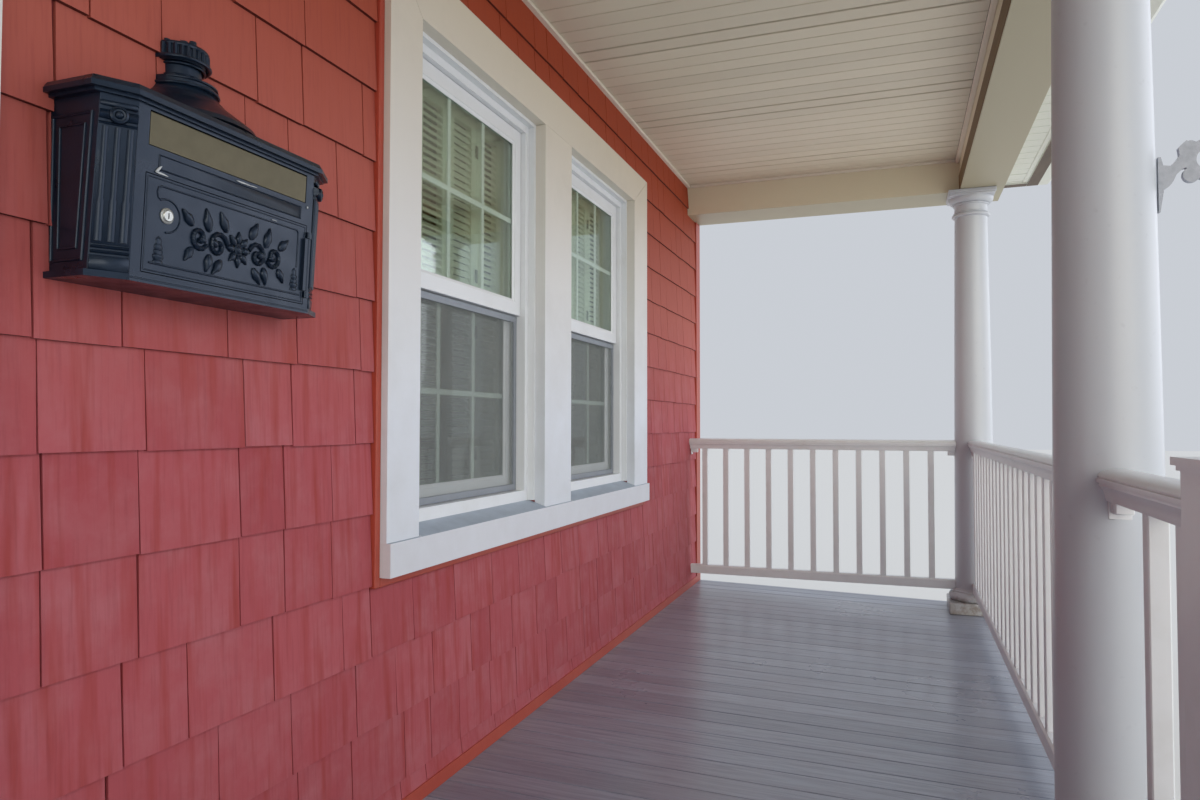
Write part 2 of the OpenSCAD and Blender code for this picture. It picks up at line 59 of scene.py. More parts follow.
def add_node(material, kind, links=None, **settings):
    """Adds a shader node. links gives a value, a node or an output for each input named."""
    made = material.node_tree.nodes.new("ShaderNode" + kind)
    for name, value in settings.items():
        setattr(made, name, value)
    for name, value in (links or {}).items():
        value = value.outputs[0] if isinstance(value, bpy.types.Node) else value
        if isinstance(value, bpy.types.NodeSocket):
            material.node_tree.links.new(value, made.inputs[name])
        else:
            made.inputs[name].default_value = value
    return made


def noise(material, where, scale, detail=2.0, roughness=0.5, distortion=0.0):
    """Cloudy noise from 0 to 1."""
    values = {"Vector": where, "Scale": scale, "Detail": detail, "Roughness": roughness}
    return add_node(material, "TexNoise", {**values, "Distortion": distortion})


def ramp(material, value, start, end, low, high):
    """Goes from low to high while the value goes from start to end."""
    values = {"Value": value, "From Min": start, "From Max": end, "To Min": low, "To Max": high}
    return add_node(material, "MapRange", values)


def blend(material, amount, first, second):
    """Mixes two colours, each a hex code or the output of a node."""
    first, second = [colour(part) if isinstance(part, str) else part for part in (first, second)]
    return add_node(material, "MixRGB", {"Fac": amount, "Color1": first, "Color2": second})


def bumps(material, height, strength, distance):
    """A bumped normal from a pattern."""
    return add_node(material, "Bump", {"Height": height, "Strength": strength, "Distance": distance})


def component(material, vector, axis):
    """One axis of a vector."""
    return add_node(material, "SeparateXYZ", {"Vector": vector}).outputs[axis]


def coat(material, tone, roughness, more=None):
    """Ends a material in a surface of this colour and roughness."""
    skin = add_node(material, "BsdfPrincipled", {"Base Color": tone, "Roughness": roughness, **(more or {})})
    add_node(material, "OutputMaterial", {"Surface": skin})


def new_material(name):
    """An empty node material and the object coordinates that its patterns read."""
    material = bpy.data.materials.new(name)
    material.use_nodes = True
    material.node_tree.nodes.clear()
    place = add_node(material, "TexCoord").outputs["Object"]
    return material, place


def dress(material, *pieces):
    """Gives these pieces, or the CAD nodes of these names, this one material."""
    for piece in pieces:
        piece = nodes[piece] if isinstance(piece, str) else piece
        piece.data.materials.clear()
        piece.data.materials.append(material)


concrete, place = new_material("cement_washed_concrete")
clouds = noise(concrete, place, 3.0, 6.0, 0.6)
grit = noise(concrete, place, 160.0, 3.0)
tone = blend(concrete, clouds, "#8F8C86", "#B9B6AF")
height = component(concrete, place, "Z")
damp = ramp(concrete, height, 0.0, 0.12, 0.45, 0.0)
tone = blend(concrete, damp, tone, "#6E6A62")
rough = bumps(concrete, grit, 0.5, 0.0015)
coat(concrete, tone, 0.9, {"Normal": rough})
dress(concrete, "foundation", "deck_piers")


# Deck framing
# Pressure treated softwood joists, ledger and rim on the piers, nailed together.
# Greyed brown with fine grain and paler weathered patches.


def stretched(material, where, scale):
    """Coordinates scaled by an amount of their own on each axis."""
    return add_node(material, "Mapping", {"Vector": where, "Scale": scale})


framing, place = new_material("treated_framing_timber")
close_grain = stretched(framing, place, (60.0, 60.0, 60.0))
grain = noise(framing, close_grain, 1.0, 5.0, distortion=0.6)
patch = noise(framing, place, 2.5, 2.0)
tone = blend(framing, grain, "#77664F", "#A08C6C")
tone = blend(framing, patch, tone, "#8D877C")
ridges = bumps(framing, grain, 0.3, 0.001)
coat(framing, tone, 0.8, {"Normal": ridges})
dress(framing, "deck_joists", "deck_beams", "stair_stringers")


# Deck boards
# Narrow tongued fir boards laid from the wall to the street, nailed blind and painted with floor enamel.
# Each keeps an open joint line, and falls 30 mm from the wall to the columns.

DECK = 0.570
BOARD_PITCH = 0.1043
BOARD_JOINT = 0.0022
FIRST_JOINT = 2.130
LEVEL_END = -0.328
LEAST_WIDTH = 0.01


def clear_selection():
    """Leaves edit mode and deselects everything."""
    if bpy.context.object and bpy.context.object.mode != "OBJECT":
        bpy.ops.object.mode_set(mode="OBJECT")
    bpy.ops.object.select_all(action="DESELECT")


def make_active(piece):
    """Selects this piece alone and makes it the active one."""
    clear_selection()
    piece.select_set(True)
    bpy.context.view_layer.objects.active = piece


def pick(piece, kind, test):
    """In edit mode, selects the vertices, edges or faces whose middle passes the test, and nothing else."""
    bpy.context.tool_settings.mesh_select_mode = [kind == "VERT", kind == "EDGE", kind == "FACE"]
    bpy.ops.mesh.select_all(action="DESELECT")
    bpy.ops.object.mode_set(mode="OBJECT")
    mesh = piece.data
    for vertex in mesh.vertices:
        vertex.select = kind == "VERT" and test(vertex.co)
    if kind == "EDGE":
        for edge in mesh.edges:
            ends = [mesh.vertices[i].co for i in edge.vertices]
            edge.select = test((ends[0] + ends[1]) / 2, (ends[1] - ends[0]).normalized())
    if kind == "FACE":
        for face in mesh.polygons:
            face.select = test(face.center, face.normal)
    bpy.ops.object.mode_set(mode="EDIT")


def bevel_edges(piece, test, offset, segments):
    """Bevels the edges of the active piece whose middle and direction pass the test."""
    bpy.ops.object.mode_set(mode="EDIT")
    pick(piece, "EDGE", test)
    bpy.ops.mesh.bevel(offset=offset, segments=segments, affect="EDGES")
    bpy.ops.object.mode_set(mode="OBJECT")


def move_points(piece, test, way):
    """Moves the vertices of the active piece that pass the test."""
    bpy.ops.object.mode_set(mode="EDIT")
    pick(piece, "VERT", test)
    bpy.ops.transform.translate(value=way)
    bpy.ops.object.mode_set(mode="OBJECT")


def in_order(one, other):
    """The low and the high corner of the box between two corners."""
    return zip(*(sorted(pair) for pair in zip(one, other)))


def board(name, low, high, arris=0.0015):
    """A squared board between two opposite corners with its arrises taken off."""
    low, high = in_order(low, high)
    clear_selection()
    bpy.ops.mesh.primitive_cube_add(size=1, location=[(a + b) / 2 for a, b in zip(low, high)])
    piece = bpy.context.object
    piece.name = name
    piece.scale = [b - a for a, b in zip(low, high)]
    bpy.ops.object.transform_apply(location=True, rotation=True, scale=True)
    if arris:
        bpy.ops.object.mode_set(mode="EDIT")
        bpy.ops.mesh.select_all(action="SELECT")
        bpy.ops.mesh.bevel(offset=arris, segments=1, affect="EDGES")
        bpy.ops.object.mode_set(mode="OBJECT")
    return piece


def copy_of(piece, matrix):
    """A copy with its own mesh, moved by a matrix."""
    twin = piece.copy()
    twin.data = piece.data.copy()
    bpy.context.scene.collection.objects.link(twin)
    twin.data.transform(matrix)
    return twin


def joined(name, pieces):
    """One object from several."""
    clear_selection()
    for piece in pieces:
        piece.select_set(True)
    bpy.context.view_layer.objects.active = pieces[0]
    if len(pieces) > 1:
        bpy.ops.object.join()
    piece = bpy.context.object
    piece.name = name
    piece.data.name = name
    return piece


def repeated(name, piece, matrices):
    """Copies of a modelled piece at these places, in one object, in place of the first."""
    made = joined(name, [copy_of(piece, m) for m in matrices])
    bpy.data.objects.remove(piece)
    made.name = name
    return made


def add_piece(piece, material, body="porch", smooth=None):
    """Finishes a piece: its shading, its material and the body it rides on."""
    make_active(piece)
    if smooth:
        bpy.ops.object.shade_smooth_by_angle(angle=math.radians(smooth))
    dress(material, piece)
    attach(piece, body)
    return piece


deck_low, deck_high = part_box("deck")
one = board("deck_board", (0, deck_low.y, deck_low.z), (BOARD_PITCH - BOARD_JOINT, deck_high.y, DECK), 0)
bpy.ops.object.mode_set(mode="EDIT")
bpy.ops.mesh.select_all(action="SELECT")
bpy.ops.mesh.bisect(plane_co=(0, LEVEL_END, 0), plane_no=(0, 1, 0))
move_points(one, lambda co: co.y > deck_high.y - 0.001, (0, 0, deck_high.z - DECK))


def on_top(mid, way):
    """The long edges of a board's top, and the one across its street end."""
    along_or_end = abs(way.y) > 0.9 or mid.y < deck_low.y + 0.001
    return along_or_end and mid.z > deck_low.z + 0.012 and abs(way.z) < 0.5


bevel_edges(one, on_top, 0.0024, 2)

random.seed(4)
laid = []
count = math.ceil(2 * deck_high.x / BOARD_PITCH) + 1
start = FIRST_JOINT - math.ceil((FIRST_JOINT + deck_high.x) / BOARD_PITCH) * BOARD_PITCH
for i in range(count):
    left = start + i * BOARD_PITCH
    low, high = max(left, -deck_high.x), min(left + BOARD_PITCH - BOARD_JOINT, deck_high.x)
    if high - low < LEAST_WIDTH:
        continue
    stretch = (high - low) / (BOARD_PITCH - BOARD_JOINT)
    drop = -random.uniform(0, 0.0007)
    laid.append(Matrix.Translation((low, 0, drop)) @ Matrix.Diagonal((stretch, 1, 1, 1)))
deck_boards = repeated("deck_boards", one, laid)


def own_place(material, place, island, spread):
    """Coordinates moved by an amount of their own on each board or shingle."""
    shift = add_node(material, "CombineXYZ", {"X": island, "Y": island, "Z": island})
    shift = add_node(material, "VectorMath", {0: shift, 1: spread}, operation="MULTIPLY")
    return add_node(material, "VectorMath", {0: place, 1: shift}, operation="ADD")


floor_paint, place = new_material("floor_enamel_on_fir")
island = add_node(floor_paint, "NewGeometry").outputs["Random Per Island"]
board_place = own_place(floor_paint, place, island, (37.0, 11.0, 23.0))
along = stretched(floor_paint, board_place, (70.0, 3.2, 8.0))
grain = noise(floor_paint, along, 1.0, 6.0, 0.62, distortion=1.1)
worn = noise(floor_paint, place, 1.7, 5.0, 0.6)
dust = noise(floor_paint, place, 55.0, 4.0)
tone = blend(floor_paint, island, "#858D9E", "#9AA2B3")
streak = ramp(floor_paint, grain, 0.42, 0.72, 0.0, 0.55)
tone = blend(floor_paint, streak, tone, "#595763")
bare = ramp(floor_paint, worn, 0.5, 0.75, 0.0, 0.35)
tone = blend(floor_paint, bare, tone, "#A5A3AA")
specks = ramp(floor_paint, dust, 0.6, 0.8, 0.0, 0.25)
tone = blend(floor_paint, specks, tone, "#A5A1A6")
gloss = ramp(floor_paint, worn, 0.3, 0.7, 0.24, 0.42)
ridges = bumps(floor_paint, grain, 0.55, 0.0012)
coat(floor_paint, tone, gloss, {"Normal": ridges, "IOR": 1.5, "Coat Weight": 0.35, "Coat Roughness": 0.22})
add_piece(deck_boards, floor_paint)
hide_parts("deck")


# Steps
# Two treads of two planks each with a rounded nosing, on stringers, with painted risers between.
# The treads carry the deck's enamel, and the risers the white of the trim.

tread_low, tread_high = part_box("stair_treads")
TREADS = ((-1.285, 0.190), (-1.005, 0.380))
PLANKS = ((0.0, 0.142, 0.011), (0.145, 0.288, 0.003))
PLANK_THICK = 0.032
planks = []
for front, top in TREADS:
    for near, far, nosing in PLANKS:
        corner = (tread_low.x, front + near, top - PLANK_THICK)
        plank = board("plank", corner, (tread_high.x, front + far, top), 0)
        bevel_edges(plank, lambda mid, way: abs(way.x) > 0.9, nosing, 3)
        planks.append(plank)
treads = joined("tread_planks", planks)
tread_paint = floor_paint.copy()
tread_paint.name = "floor_enamel_on_treads"
for item in tread_paint.node_tree.nodes:
    if item.bl_idname == "ShaderNodeMapping":
        item.inputs["Scale"].default_value = (3.2, 70.0, 8.0)
add_piece(treads, tread_paint, smooth=40)
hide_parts("stair_treads")


# Painted trim boards
# Sawn softwood, primed and brushed with two coats of satin white outdoors.
# A cool white with faint brush lines and patches of dust, with painted warm light turning it warm toward the
# ceiling.

trim_white, place = new_material("brushed_white_trim_paint")
brush = stretched(trim_white, place, (9.0, 9.0, 1.2))
strokes = noise(trim_white, brush, 28.0, 4.0)
stain = noise(trim_white, place, 2.2, 6.0, 0.65)
height = component(trim_white, place, "Z")
# Painted warm light: the white turns tan toward the ceiling, where the light under the roof is warmer.
painted_warm_light = ramp(trim_white, height, 1.6, 3.0, 0.0, 0.75)
tone = blend(trim_white, painted_warm_light, "#E4EAF3", "#DCCBA6")
dirt = ramp(trim_white, stain, 0.5, 0.8, 0.0, 0.22)
tone = blend(trim_white, dirt, tone, "#ABA79C")
lines = bumps(trim_white, strokes, 0.12, 0.0006)
coat(trim_white, tone, 0.42, {"Normal": lines})
dress(trim_white, "skirt_boards", "stair_risers", "window_casings", "door_casing",
      "front_door")


# Wall shingles
# Tapered cedar shingles in level courses over the boarded wall, nailed under the next, with open keyways.
# Painted a satin barn red that has gone chalky pink. Painted light makes it paler and more orange higher up,
# and browner and warmer in the light from the ceiling; painted shade darkens the butts.

WALL_FACE = 1.135
COURSE = 0.1726
FIRST_COURSE = 0.686
CEILING = 3.070
WINDOW, WINDOW_HALF = 2.565, 0.937
SILL_UNDER, HEAD_TOP = 1.219, 2.815
DOOR_CASING, DOOR_HEAD = 0.550, 2.780
NEAR_CASING, FAR_CASING, SURROUND = 0.145, 0.210, 0.020
WALL_END, BASE_TOP = 4.885, 0.638
KEYWAY, OVERLAP = 0.0034, 0.022
SHELTER = 3.10

house_red, place = new_material("chalked_barn_red_on_cedar")
geometry = add_node(house_red, "NewGeometry")
island = geometry.outputs["Random Per Island"]
shingle_place = own_place(house_red, place, island, (41.0, 17.0, 29.0))
upright = stretched(house_red, shingle_place, (150.0, 150.0, 4.0))
fibre = noise(house_red, upright, 1.0, 5.0, 0.6)
chalk = noise(house_red, shingle_place, 9.0, 5.0, 0.6)
broad = stretched(house_red, shingle_place, (38.0, 38.0, 2.2))
wipe = noise(house_red, broad, 1.0, 3.0)
height = component(house_red, place, "Z")
sheltered = add_node(house_red, "Math", {0: height, 1: SHELTER}, operation="LESS_THAN")
# Painted light: paler and more orange higher up the wall, under the roof.
painted_upper_light = ramp(house_red, height, 1.55, 2.2, 0.0, 0.9)
painted_upper_light = add_node(house_red, "Math", {0: painted_upper_light, 1: sheltered}, operation="MULTIPLY")
# Painted warm light: browner and warmer toward the ceiling, only under the roof.
painted_warm_light = ramp(house_red, height, 2.2, 2.9, 0.0, 1.0)
painted_warm_light = add_node(house_red, "Math", {0: painted_warm_light, 1: sheltered}, operation="MULTIPLY")
# Painted shade: the butt ends, which face down, darken to a deep brown.
downward = component(house_red, geometry.outputs["Normal"], "Z")
butt = ramp(house_red, downward, -0.4, -0.9, 0.0, 0.85)
tone = blend(house_red, island, "#A84B52", "#B4585F")
faded = ramp(house_red, chalk, 0.44, 0.72, 0.0, 0.48)
tone = blend(house_red, faded, tone, "#BA747B")
streak = ramp(house_red, wipe, 0.50, 0.72, 0.0, 0.7)
tone = blend(house_red, streak, tone, "#A03A34")
tone = blend(house_red, painted_upper_light, tone, "#B25E50")
tone = blend(house_red, painted_warm_light, tone, "#A64526")
threads = ramp(house_red, fibre, 0.5, 0.8, 0.0, 0.3)
tone = blend(house_red, threads, tone, "#7A2D31")
tone = blend(house_red, butt, tone, "#4A1E1C")
ridges = bumps(house_red, fibre, 0.35, 0.0008)
coat(house_red, tone, 0.72, {"Specular IOR Level": 0.3, "Normal": ridges})

one = board("shingle", (0, WALL_FACE - 0.014, 0), (1, WALL_FACE - 0.0035, 1), 0)
move_points(one, lambda co: co.z > 0.5 and co.y < WALL_FACE - 0.01, (0, 0.0095, 0))
move_points(one, lambda co: co.z > 0.5 and co.y > WALL_FACE - 0.0037, (0, 0.003, 0))

# Keyways seen beside and under the right window, from the letter box to the corner, course by course.
KEYWAYS = {
    0: (1.214, 1.396, 1.614, 1.740, 1.895, 2.088, 2.274, 2.526, 2.721, 2.905, 3.080, 3.310, 3.428, 3.588,
        3.756, 3.998, 4.170),
    1: (0.761, 0.992, 1.190, 1.409, 1.572, 1.749, 1.963, 2.086, 2.240, 2.435, 2.623, 2.865, 3.060, 3.249,
        3.416, 3.647, 3.765, 3.916, 4.114),
    2: (0.786, 0.918, 1.133, 1.357, 1.491, 1.649, 1.865, 2.098, 2.293, 2.509, 2.665, 2.844, 3.072, 3.195,
        3.342, 3.540, 3.740, 3.998, 4.126),
    3: (0.644, 0.811, 1.037, 1.161, 1.313),
    4: (0.643, 0.810, 1.036, 1.158, 1.311),
    5: (0.631, 0.819, 1.044, 1.178, 1.391),
    6: (0.620, 0.769, 0.996, 1.189, 1.409),
    7: (0.641, 0.800, 1.010, 1.180, 1.389),
    8: (0.647, 0.830, 1.037, 1.159, 1.318),
    9: (0.700, 0.836, 1.064, 1.199, 1.411),
    10: (0.640, 0.780, 1.000, 1.202, 1.423),
    11: (0.600, 0.820, 1.020, 1.200, 1.414),
}


def split_run(low, high, known):
    """Keyways across a run of wall: the known ones, then random widths of 110 to 240 mm."""
    joints = [k for k in known if low + 0.05 < k < high - 0.05]
    while True:
        last = joints[-1] if joints else low
        step = random.uniform(0.11, 0.24)
        if last + step > high - 0.06:
            return [low] + joints + [high]
        joints.append(last + step)


def shingle_place_at(left, right, bottom, top, uneven=0.0, lean=0.0):
    """Where a shingle goes between two keyways, with its butt out of line and its edges out of plumb."""
    shape = Matrix.Diagonal((right - left - KEYWAY, 1, top - bottom, 1))
    shape[0][2] = lean * (top - bottom) * 2
    return Matrix.Translation((left + KEYWAY / 2, 0, bottom + uneven)) @ shape


random.seed(11)
shingle_places = []
near_side = WINDOW - (WINDOW_HALF + SURROUND) - NEAR_CASING
far_side = WINDOW + (WINDOW_HALF + SURROUND) + FAR_CASING
trim_low, trim_high = SILL_UNDER - 0.024, HEAD_TOP + SURROUND
openings = [
    (-DOOR_CASING, DOOR_CASING, 0.0, DOOR_HEAD), (near_side, far_side, trim_low, trim_high),
    (-far_side, -near_side, trim_low, trim_high),
]
edges = sorted({-WALL_END, WALL_END, *(x for opening in openings for x in opening[:2])})
course = -1
while FIRST_COURSE + course * COURSE < CEILING:
    butt, top = FIRST_COURSE + course * COURSE, FIRST_COURSE + (course + 1) * COURSE + OVERLAP
    runs = []
    for low, high in zip(edges, edges[1:]):
        bottom, lid = max(butt, BASE_TOP), min(top, CEILING + 0.01)
        for left, right, sill, head in openings:
            if left - 1e-6 <= low and high <= right + 1e-6:
                if butt < sill < top:
                    lid = min(lid, sill)
                if butt < head < top:
                    bottom = max(bottom, head)
                if sill <= bottom and lid <= head:
                    lid = bottom
        if lid - bottom < 0.012:
            continue
        if runs and abs(runs[-1][1] - low) < 1e-6 and runs[-1][2:] == (bottom, lid):
            runs[-1] = (runs[-1][0], high, bottom, lid)
        else:
            runs.append((low, high, bottom, lid))
    for low, high, bottom, lid in runs:
        joints = split_run(low, high, KEYWAYS.get(course, ()) if high > 0.6 else ())
        for a, b in zip(joints, joints[1:]):
            uneven = random.uniform(-0.0018, 0.0018) if bottom == butt else 0
            lean = random.uniform(-0.006, 0.006)
            shingle_places.append(shingle_place_at(a, b, bottom, lid, uneven, lean))
    course += 1

# Over the porch roof the courses are cut to its slope, clear of the tabs. A last strip runs along its top.
ROOF_X, ROOF_Y, ROOF_LOW, PITCH, WALL_TOP = 5.242, -0.902, 3.2165, 0.28, 3.855
ROOF_HIGH = ROOF_LOW + (WALL_FACE - ROOF_Y) * PITCH
ROOF_CLEAR, FLAT_HALF = 0.028, 3.2


def cut_off(piece, point, normal):
    """Cuts away what lies past a plane, on the side of its normal, and closes the cut."""
    make_active(piece)
    bpy.ops.object.mode_set(mode="EDIT")
    bpy.ops.mesh.select_all(action="SELECT")
    bpy.ops.mesh.bisect(plane_co=point, plane_no=normal, use_fill=True, clear_outer=True)
    bpy.ops.object.mode_set(mode="OBJECT")


upper = []
for course in range(15, 19):
    butt, lid = FIRST_COURSE + course * COURSE, min(FIRST_COURSE + (course + 1) * COURSE + OVERLAP, WALL_TOP)
    inner = max(ROOF_X - (lid - ROOF_CLEAR - ROOF_LOW) / PITCH, FLAT_HALF)
    for s in (-1, 1):
        joints = split_run(inner, WALL_END, ())
        for a, b in zip(joints, joints[1:]):
            a, b = (a, b) if s > 0 else (-b, -a)
            tile = copy_of(one, shingle_place_at(a, b, butt, lid, 0.0, random.uniform(-0.006, 0.006)))
            if ROOF_LOW + ROOF_CLEAR + (ROOF_X - min(abs(a), abs(b))) * PITCH > butt:
                cut_off(tile, (s * ROOF_X, 0, ROOF_LOW + ROOF_CLEAR), (-s * PITCH, 0, -1))
            if tile.data.vertices:
                upper.append(tile)
            else:
                bpy.data.objects.remove(tile)
joints = split_run(-FLAT_HALF, FLAT_HALF, ())
for a, b in zip(joints, joints[1:]):
    upper.append(copy_of(one, shingle_place_at(a, b, ROOF_HIGH + ROOF_CLEAR, WALL_TOP)))
shingles = joined("wall_shingles", [repeated("wall_shingles", one, shingle_places)] + upper)
add_piece(shingles, house_red)


# Wall behind the shingles
# Framed wall, boarded outside and lined with painted plasterboard inside.
# Its outer face takes the red of the shingles in the keyways, and its room side a plain warm white.

PLASTER_FACE = 1.272
wall_skin, place = new_material("boarded_wall_and_plaster")
depth = component(wall_skin, place, "Y")
inside = add_node(wall_skin, "Math", {0: depth, 1: PLASTER_FACE}, operation="GREATER_THAN")
mottle = noise(wall_skin, place, 6.0, 5.0)
red_side = blend(wall_skin, mottle, "#7E3030", "#963E3C")
room_side = blend(wall_skin, mottle, "#D9D5CB", "#E4E1D9")
tone = blend(wall_skin, inside, red_side, room_side)
coat(wall_skin, tone, 0.7)
dress(wall_skin, "wall_piers", "wall_under_windows", "wall_over_openings")


# Red trim
# Planed corner boards, the strip along the deck and the narrow surround that the shingles butt against.
# Fresher and more orange than the shingles, with a satin brushed coat.

trim_red, place = new_material("satin_red_trim_paint")
brush = stretched(trim_red, place, (12.0, 12.0, 1.5))
strokes = noise(trim_red, brush, 24.0, 4.0)
mottle = noise(trim_red, place, 5.0, 5.0)
tone = blend(trim_red, mottle, "#A83E2E", "#BC5440")
worn = ramp(trim_red, strokes, 0.5, 0.8, 0.0, 0.3)
tone = blend(trim_red, worn, tone, "#8E3226")
lines = bumps(trim_red, strokes, 0.15, 0.0006)
coat(trim_red, tone, 0.42, {"Normal": lines})
dress(trim_red, "corner_boards", "base_trim")

near, far = WINDOW - WINDOW_HALF - NEAR_CASING, WINDOW + WINDOW_HALF + FAR_CASING
STRIPS = (
    (near - SURROUND, near, trim_low, trim_high), (far, far + SURROUND, trim_low, trim_high),
    (near + 0.0005, far - 0.0005, trim_low, SILL_UNDER - 0.0005),
    (near + 0.0005, far - 0.0005, HEAD_TOP + 0.0005, trim_high),
)
strips = []
for side in (-1, 1):
    for left, right, low, high in STRIPS:
        corner = (side * left, WALL_FACE - 0.021, low)
        strips.append(board("strip", corner, (side * right, WALL_FACE, high), 0.0025))
    corner_low, corner_high = (side * 4.8855, 1.117, 3.2), (side * 4.980, WALL_FACE - 0.0005, WALL_TOP)
    upper_corner = board("upper_corner", corner_low, corner_high, 0.002)
    cut_off(upper_corner, (side * ROOF_X, 0, ROOF_LOW + 0.020), (-side * PITCH, 0, -1))
    strips.append(upper_corner)
surrounds = joined("window_surround_strips", strips)
add_piece(surrounds, trim_red)


# Windows
# White vinyl double hung sashes with sealed double panes and flat bars between the panes.
# Glazing beads are mitred round each pane.


def frame_of(name, low, high, member, slope=0.0):
    """A mitred frame in the wall's plane, its inner front edge pushed back by the slope."""
    low, high = in_order(low, high)
    piece = board(name, low, high, 0)
    bpy.ops.object.mode_set(mode="EDIT")
    pick(piece, "FACE", lambda mid, normal: abs(normal.y) > 0.9)
    bpy.ops.mesh.inset(thickness=member)
    bpy.ops.mesh.bridge_edge_loops()
    if slope:
        pick(piece, "VERT", lambda co: co.y < low[1] + 1e-5 and all(
            low[k] + member / 2 < co[k] < high[k] - member / 2 for k in (0, 2)))
        bpy.ops.transform.translate(value=(0, slope, 0))
    bpy.ops.mesh.select_all(action="SELECT")
    bpy.ops.mesh.normals_make_consistent(inside=False)
    bpy.ops.object.mode_set(mode="OBJECT")
    return piece


def soften(width, segments, *names):
    """Rounds the arrises of the CAD nodes of these names with a bevel left live."""
    for name in names:
        rounding = nodes[name].modifiers.new("arris", "BEVEL")
        rounding.width = width
        rounding.segments = segments
        rounding.limit_method = "ANGLE"
        rounding.angle_limit = math.radians(40)
        rounding.harden_normals = False


vinyl, place = new_material("white_window_vinyl")
stain = noise(vinyl, place, 5.0, 5.0, 0.6)
dirt = ramp(vinyl, stain, 0.52, 0.8, 0.0, 0.2)
tone = blend(vinyl, dirt, "#E9EDF1", "#BDBCB4")
coat(vinyl, tone, 0.33)
dress(vinyl, "window_frames", "upper_sashes", "lower_sashes")
soften(0.002, 2, "window_frames", "window_casings", "window_sills", "door_casing")
soften(0.0025, 2, "upper_sashes", "lower_sashes")

TO_MULLION = 0.531
WINDOWS = [-WINDOW - TO_MULLION, -WINDOW + TO_MULLION, WINDOW - TO_MULLION, WINDOW + TO_MULLION]
AT_WINDOWS = [Matrix.Translation((x, 0, 0)) for x in WINDOWS]
# The lowest and highest edge of each sash's glass, and how deep it stands in the wall.
SILL, HEAD = 1.303, 2.670
SILL_RISE, FRAME_MEMBER, SASH_MEMBER, PANE_HALF = 0.024, 0.038, 0.044, 0.324
MEETING = (SILL + SILL_RISE + HEAD) / 2
UPPER = (MEETING - 0.020 + SASH_MEMBER, HEAD - FRAME_MEMBER - SASH_MEMBER, WALL_FACE + 0.050)
LOWER = (SILL + SILL_RISE + FRAME_MEMBER + SASH_MEMBER, MEETING + 0.022 - SASH_MEMBER, WALL_FACE + 0.082)

beads = []
for low, high, front in (UPPER, LOWER):
    one = frame_of("bead", (-PANE_HALF, front - 0.0065, low), (PANE_HALF, front, high), 0.010, 0.0045)
    beads.append(repeated("bead_row", one, AT_WINDOWS))
glazing_beads = joined("glazing_beads", beads)
add_piece(glazing_beads, vinyl)

BAR_HALF = 0.0085
bars = []
for low, high, front in (UPPER, LOWER):
    middle, z = front + 0.006, (low + high) / 2
    for x in (-PANE_HALF / 3, PANE_HALF / 3):
        corner = (x - BAR_HALF, middle - 0.0025, low)
        bars.append(board("bar", corner, (x + BAR_HALF, middle + 0.0025, high), 0.001))
    corner = (-PANE_HALF, middle - 0.0022, z - BAR_HALF)
    bars.append(board("bar", corner, (PANE_HALF, middle + 0.0022, z + BAR_HALF), 0.001))
one = joined("bars", bars)
window_bars = repeated("window_bars", one, AT_WINDOWS)


def two_tone(name, pattern, first, second, roughness, more=None):
    """A material that drifts between two colours in noise of this scale, detail and roughness."""
    material, place = new_material(name)
    coat(material, blend(material, noise(material, place, *pattern), first, second), roughness, more)
    return material


pale_bars = two_tone("white_bars_behind_glass", (22.0, 4.0), "#CFDAD4", "#DDE5E0", 0.4)
add_piece(window_bars, pale_bars)

panes = []
for low, high, front in (UPPER, LOWER):
    for y in (front, front + 0.009):
        panes.append(board("pane", (-PANE_HALF, y, low), (PANE_HALF, y + 0.003, high), 0))
one = joined("pane_pair", panes)
window_panes = repeated("window_panes", one, AT_WINDOWS)
glass, place = new_material("clear_window_glass")
clear = add_node(glass, "BsdfTransparent", {"Color": colour("#F6FAF7")})
shine = add_node(glass, "BsdfGlossy", {"Color": colour("#FFFFFF"), "Roughness": 0.015})
facing = add_node(glass, "Fresnel", {"IOR": 1.28})
thin = add_node(glass, "Math", {0: facing, 1: 0.30}, operation="MULTIPLY")
pair = add_node(glass, "MixShader", {"Fac": thin, 1: clear, 2: shine})
add_node(glass, "OutputMaterial", {"Surface": pair})
add_piece(window_panes, glass)
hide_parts("window_glass")


# Half screens
# Grey coated roll formed frames in the outer track of each lower sash, with fibreglass insect mesh.
# The mesh is too fine to draw, so one thin sheet darkens what lies behind it by as much.

pattern = (35.0, 5.0, 0.6)
screen_grey = two_tone("grey_coated_screen_frame", pattern, "#858C95", "#989EA6", 0.45, {"Metallic": 0.2})
dress(screen_grey, "half_screens")
one = board("mesh_sheet", (-0.350, WALL_FACE + 0.0605, SILL + 0.080),
            (0.350, WALL_FACE + 0.0611, MEETING - 0.042), 0)
screen_mesh = repeated("screen_mesh", one, AT_WINDOWS)
mesh_grey, place = new_material("fibreglass_insect_mesh")
clear = add_node(mesh_grey, "BsdfTransparent", {"Color": colour("#FFFFFF")})
dust = noise(mesh_grey, place, 9.0, 5.0)
tone = blend(mesh_grey, dust, "#98A09F", "#B2B8B4")
thread = add_node(mesh_grey, "BsdfDiffuse", {"Color": tone})
pair = add_node(mesh_grey, "MixShader", {"Fac": 0.24, 1: clear, 2: thread})
add_node(mesh_grey, "OutputMaterial", {"Surface": pair})
add_piece(screen_mesh, mesh_grey)


# Inside shutters
# Painted pine leaves hung in pairs behind each window, with slats set in the stiles and small dark hinges.
# A pale cream that reads green grey through the panes.

shutter_cream = two_tone("cream_painted_shutter_pine", (6.0, 3.0), "#DADCC6", "#E6E7D8", 0.6)
dress(shutter_cream, "shutters")
soften(0.0015, 1, "shutters")

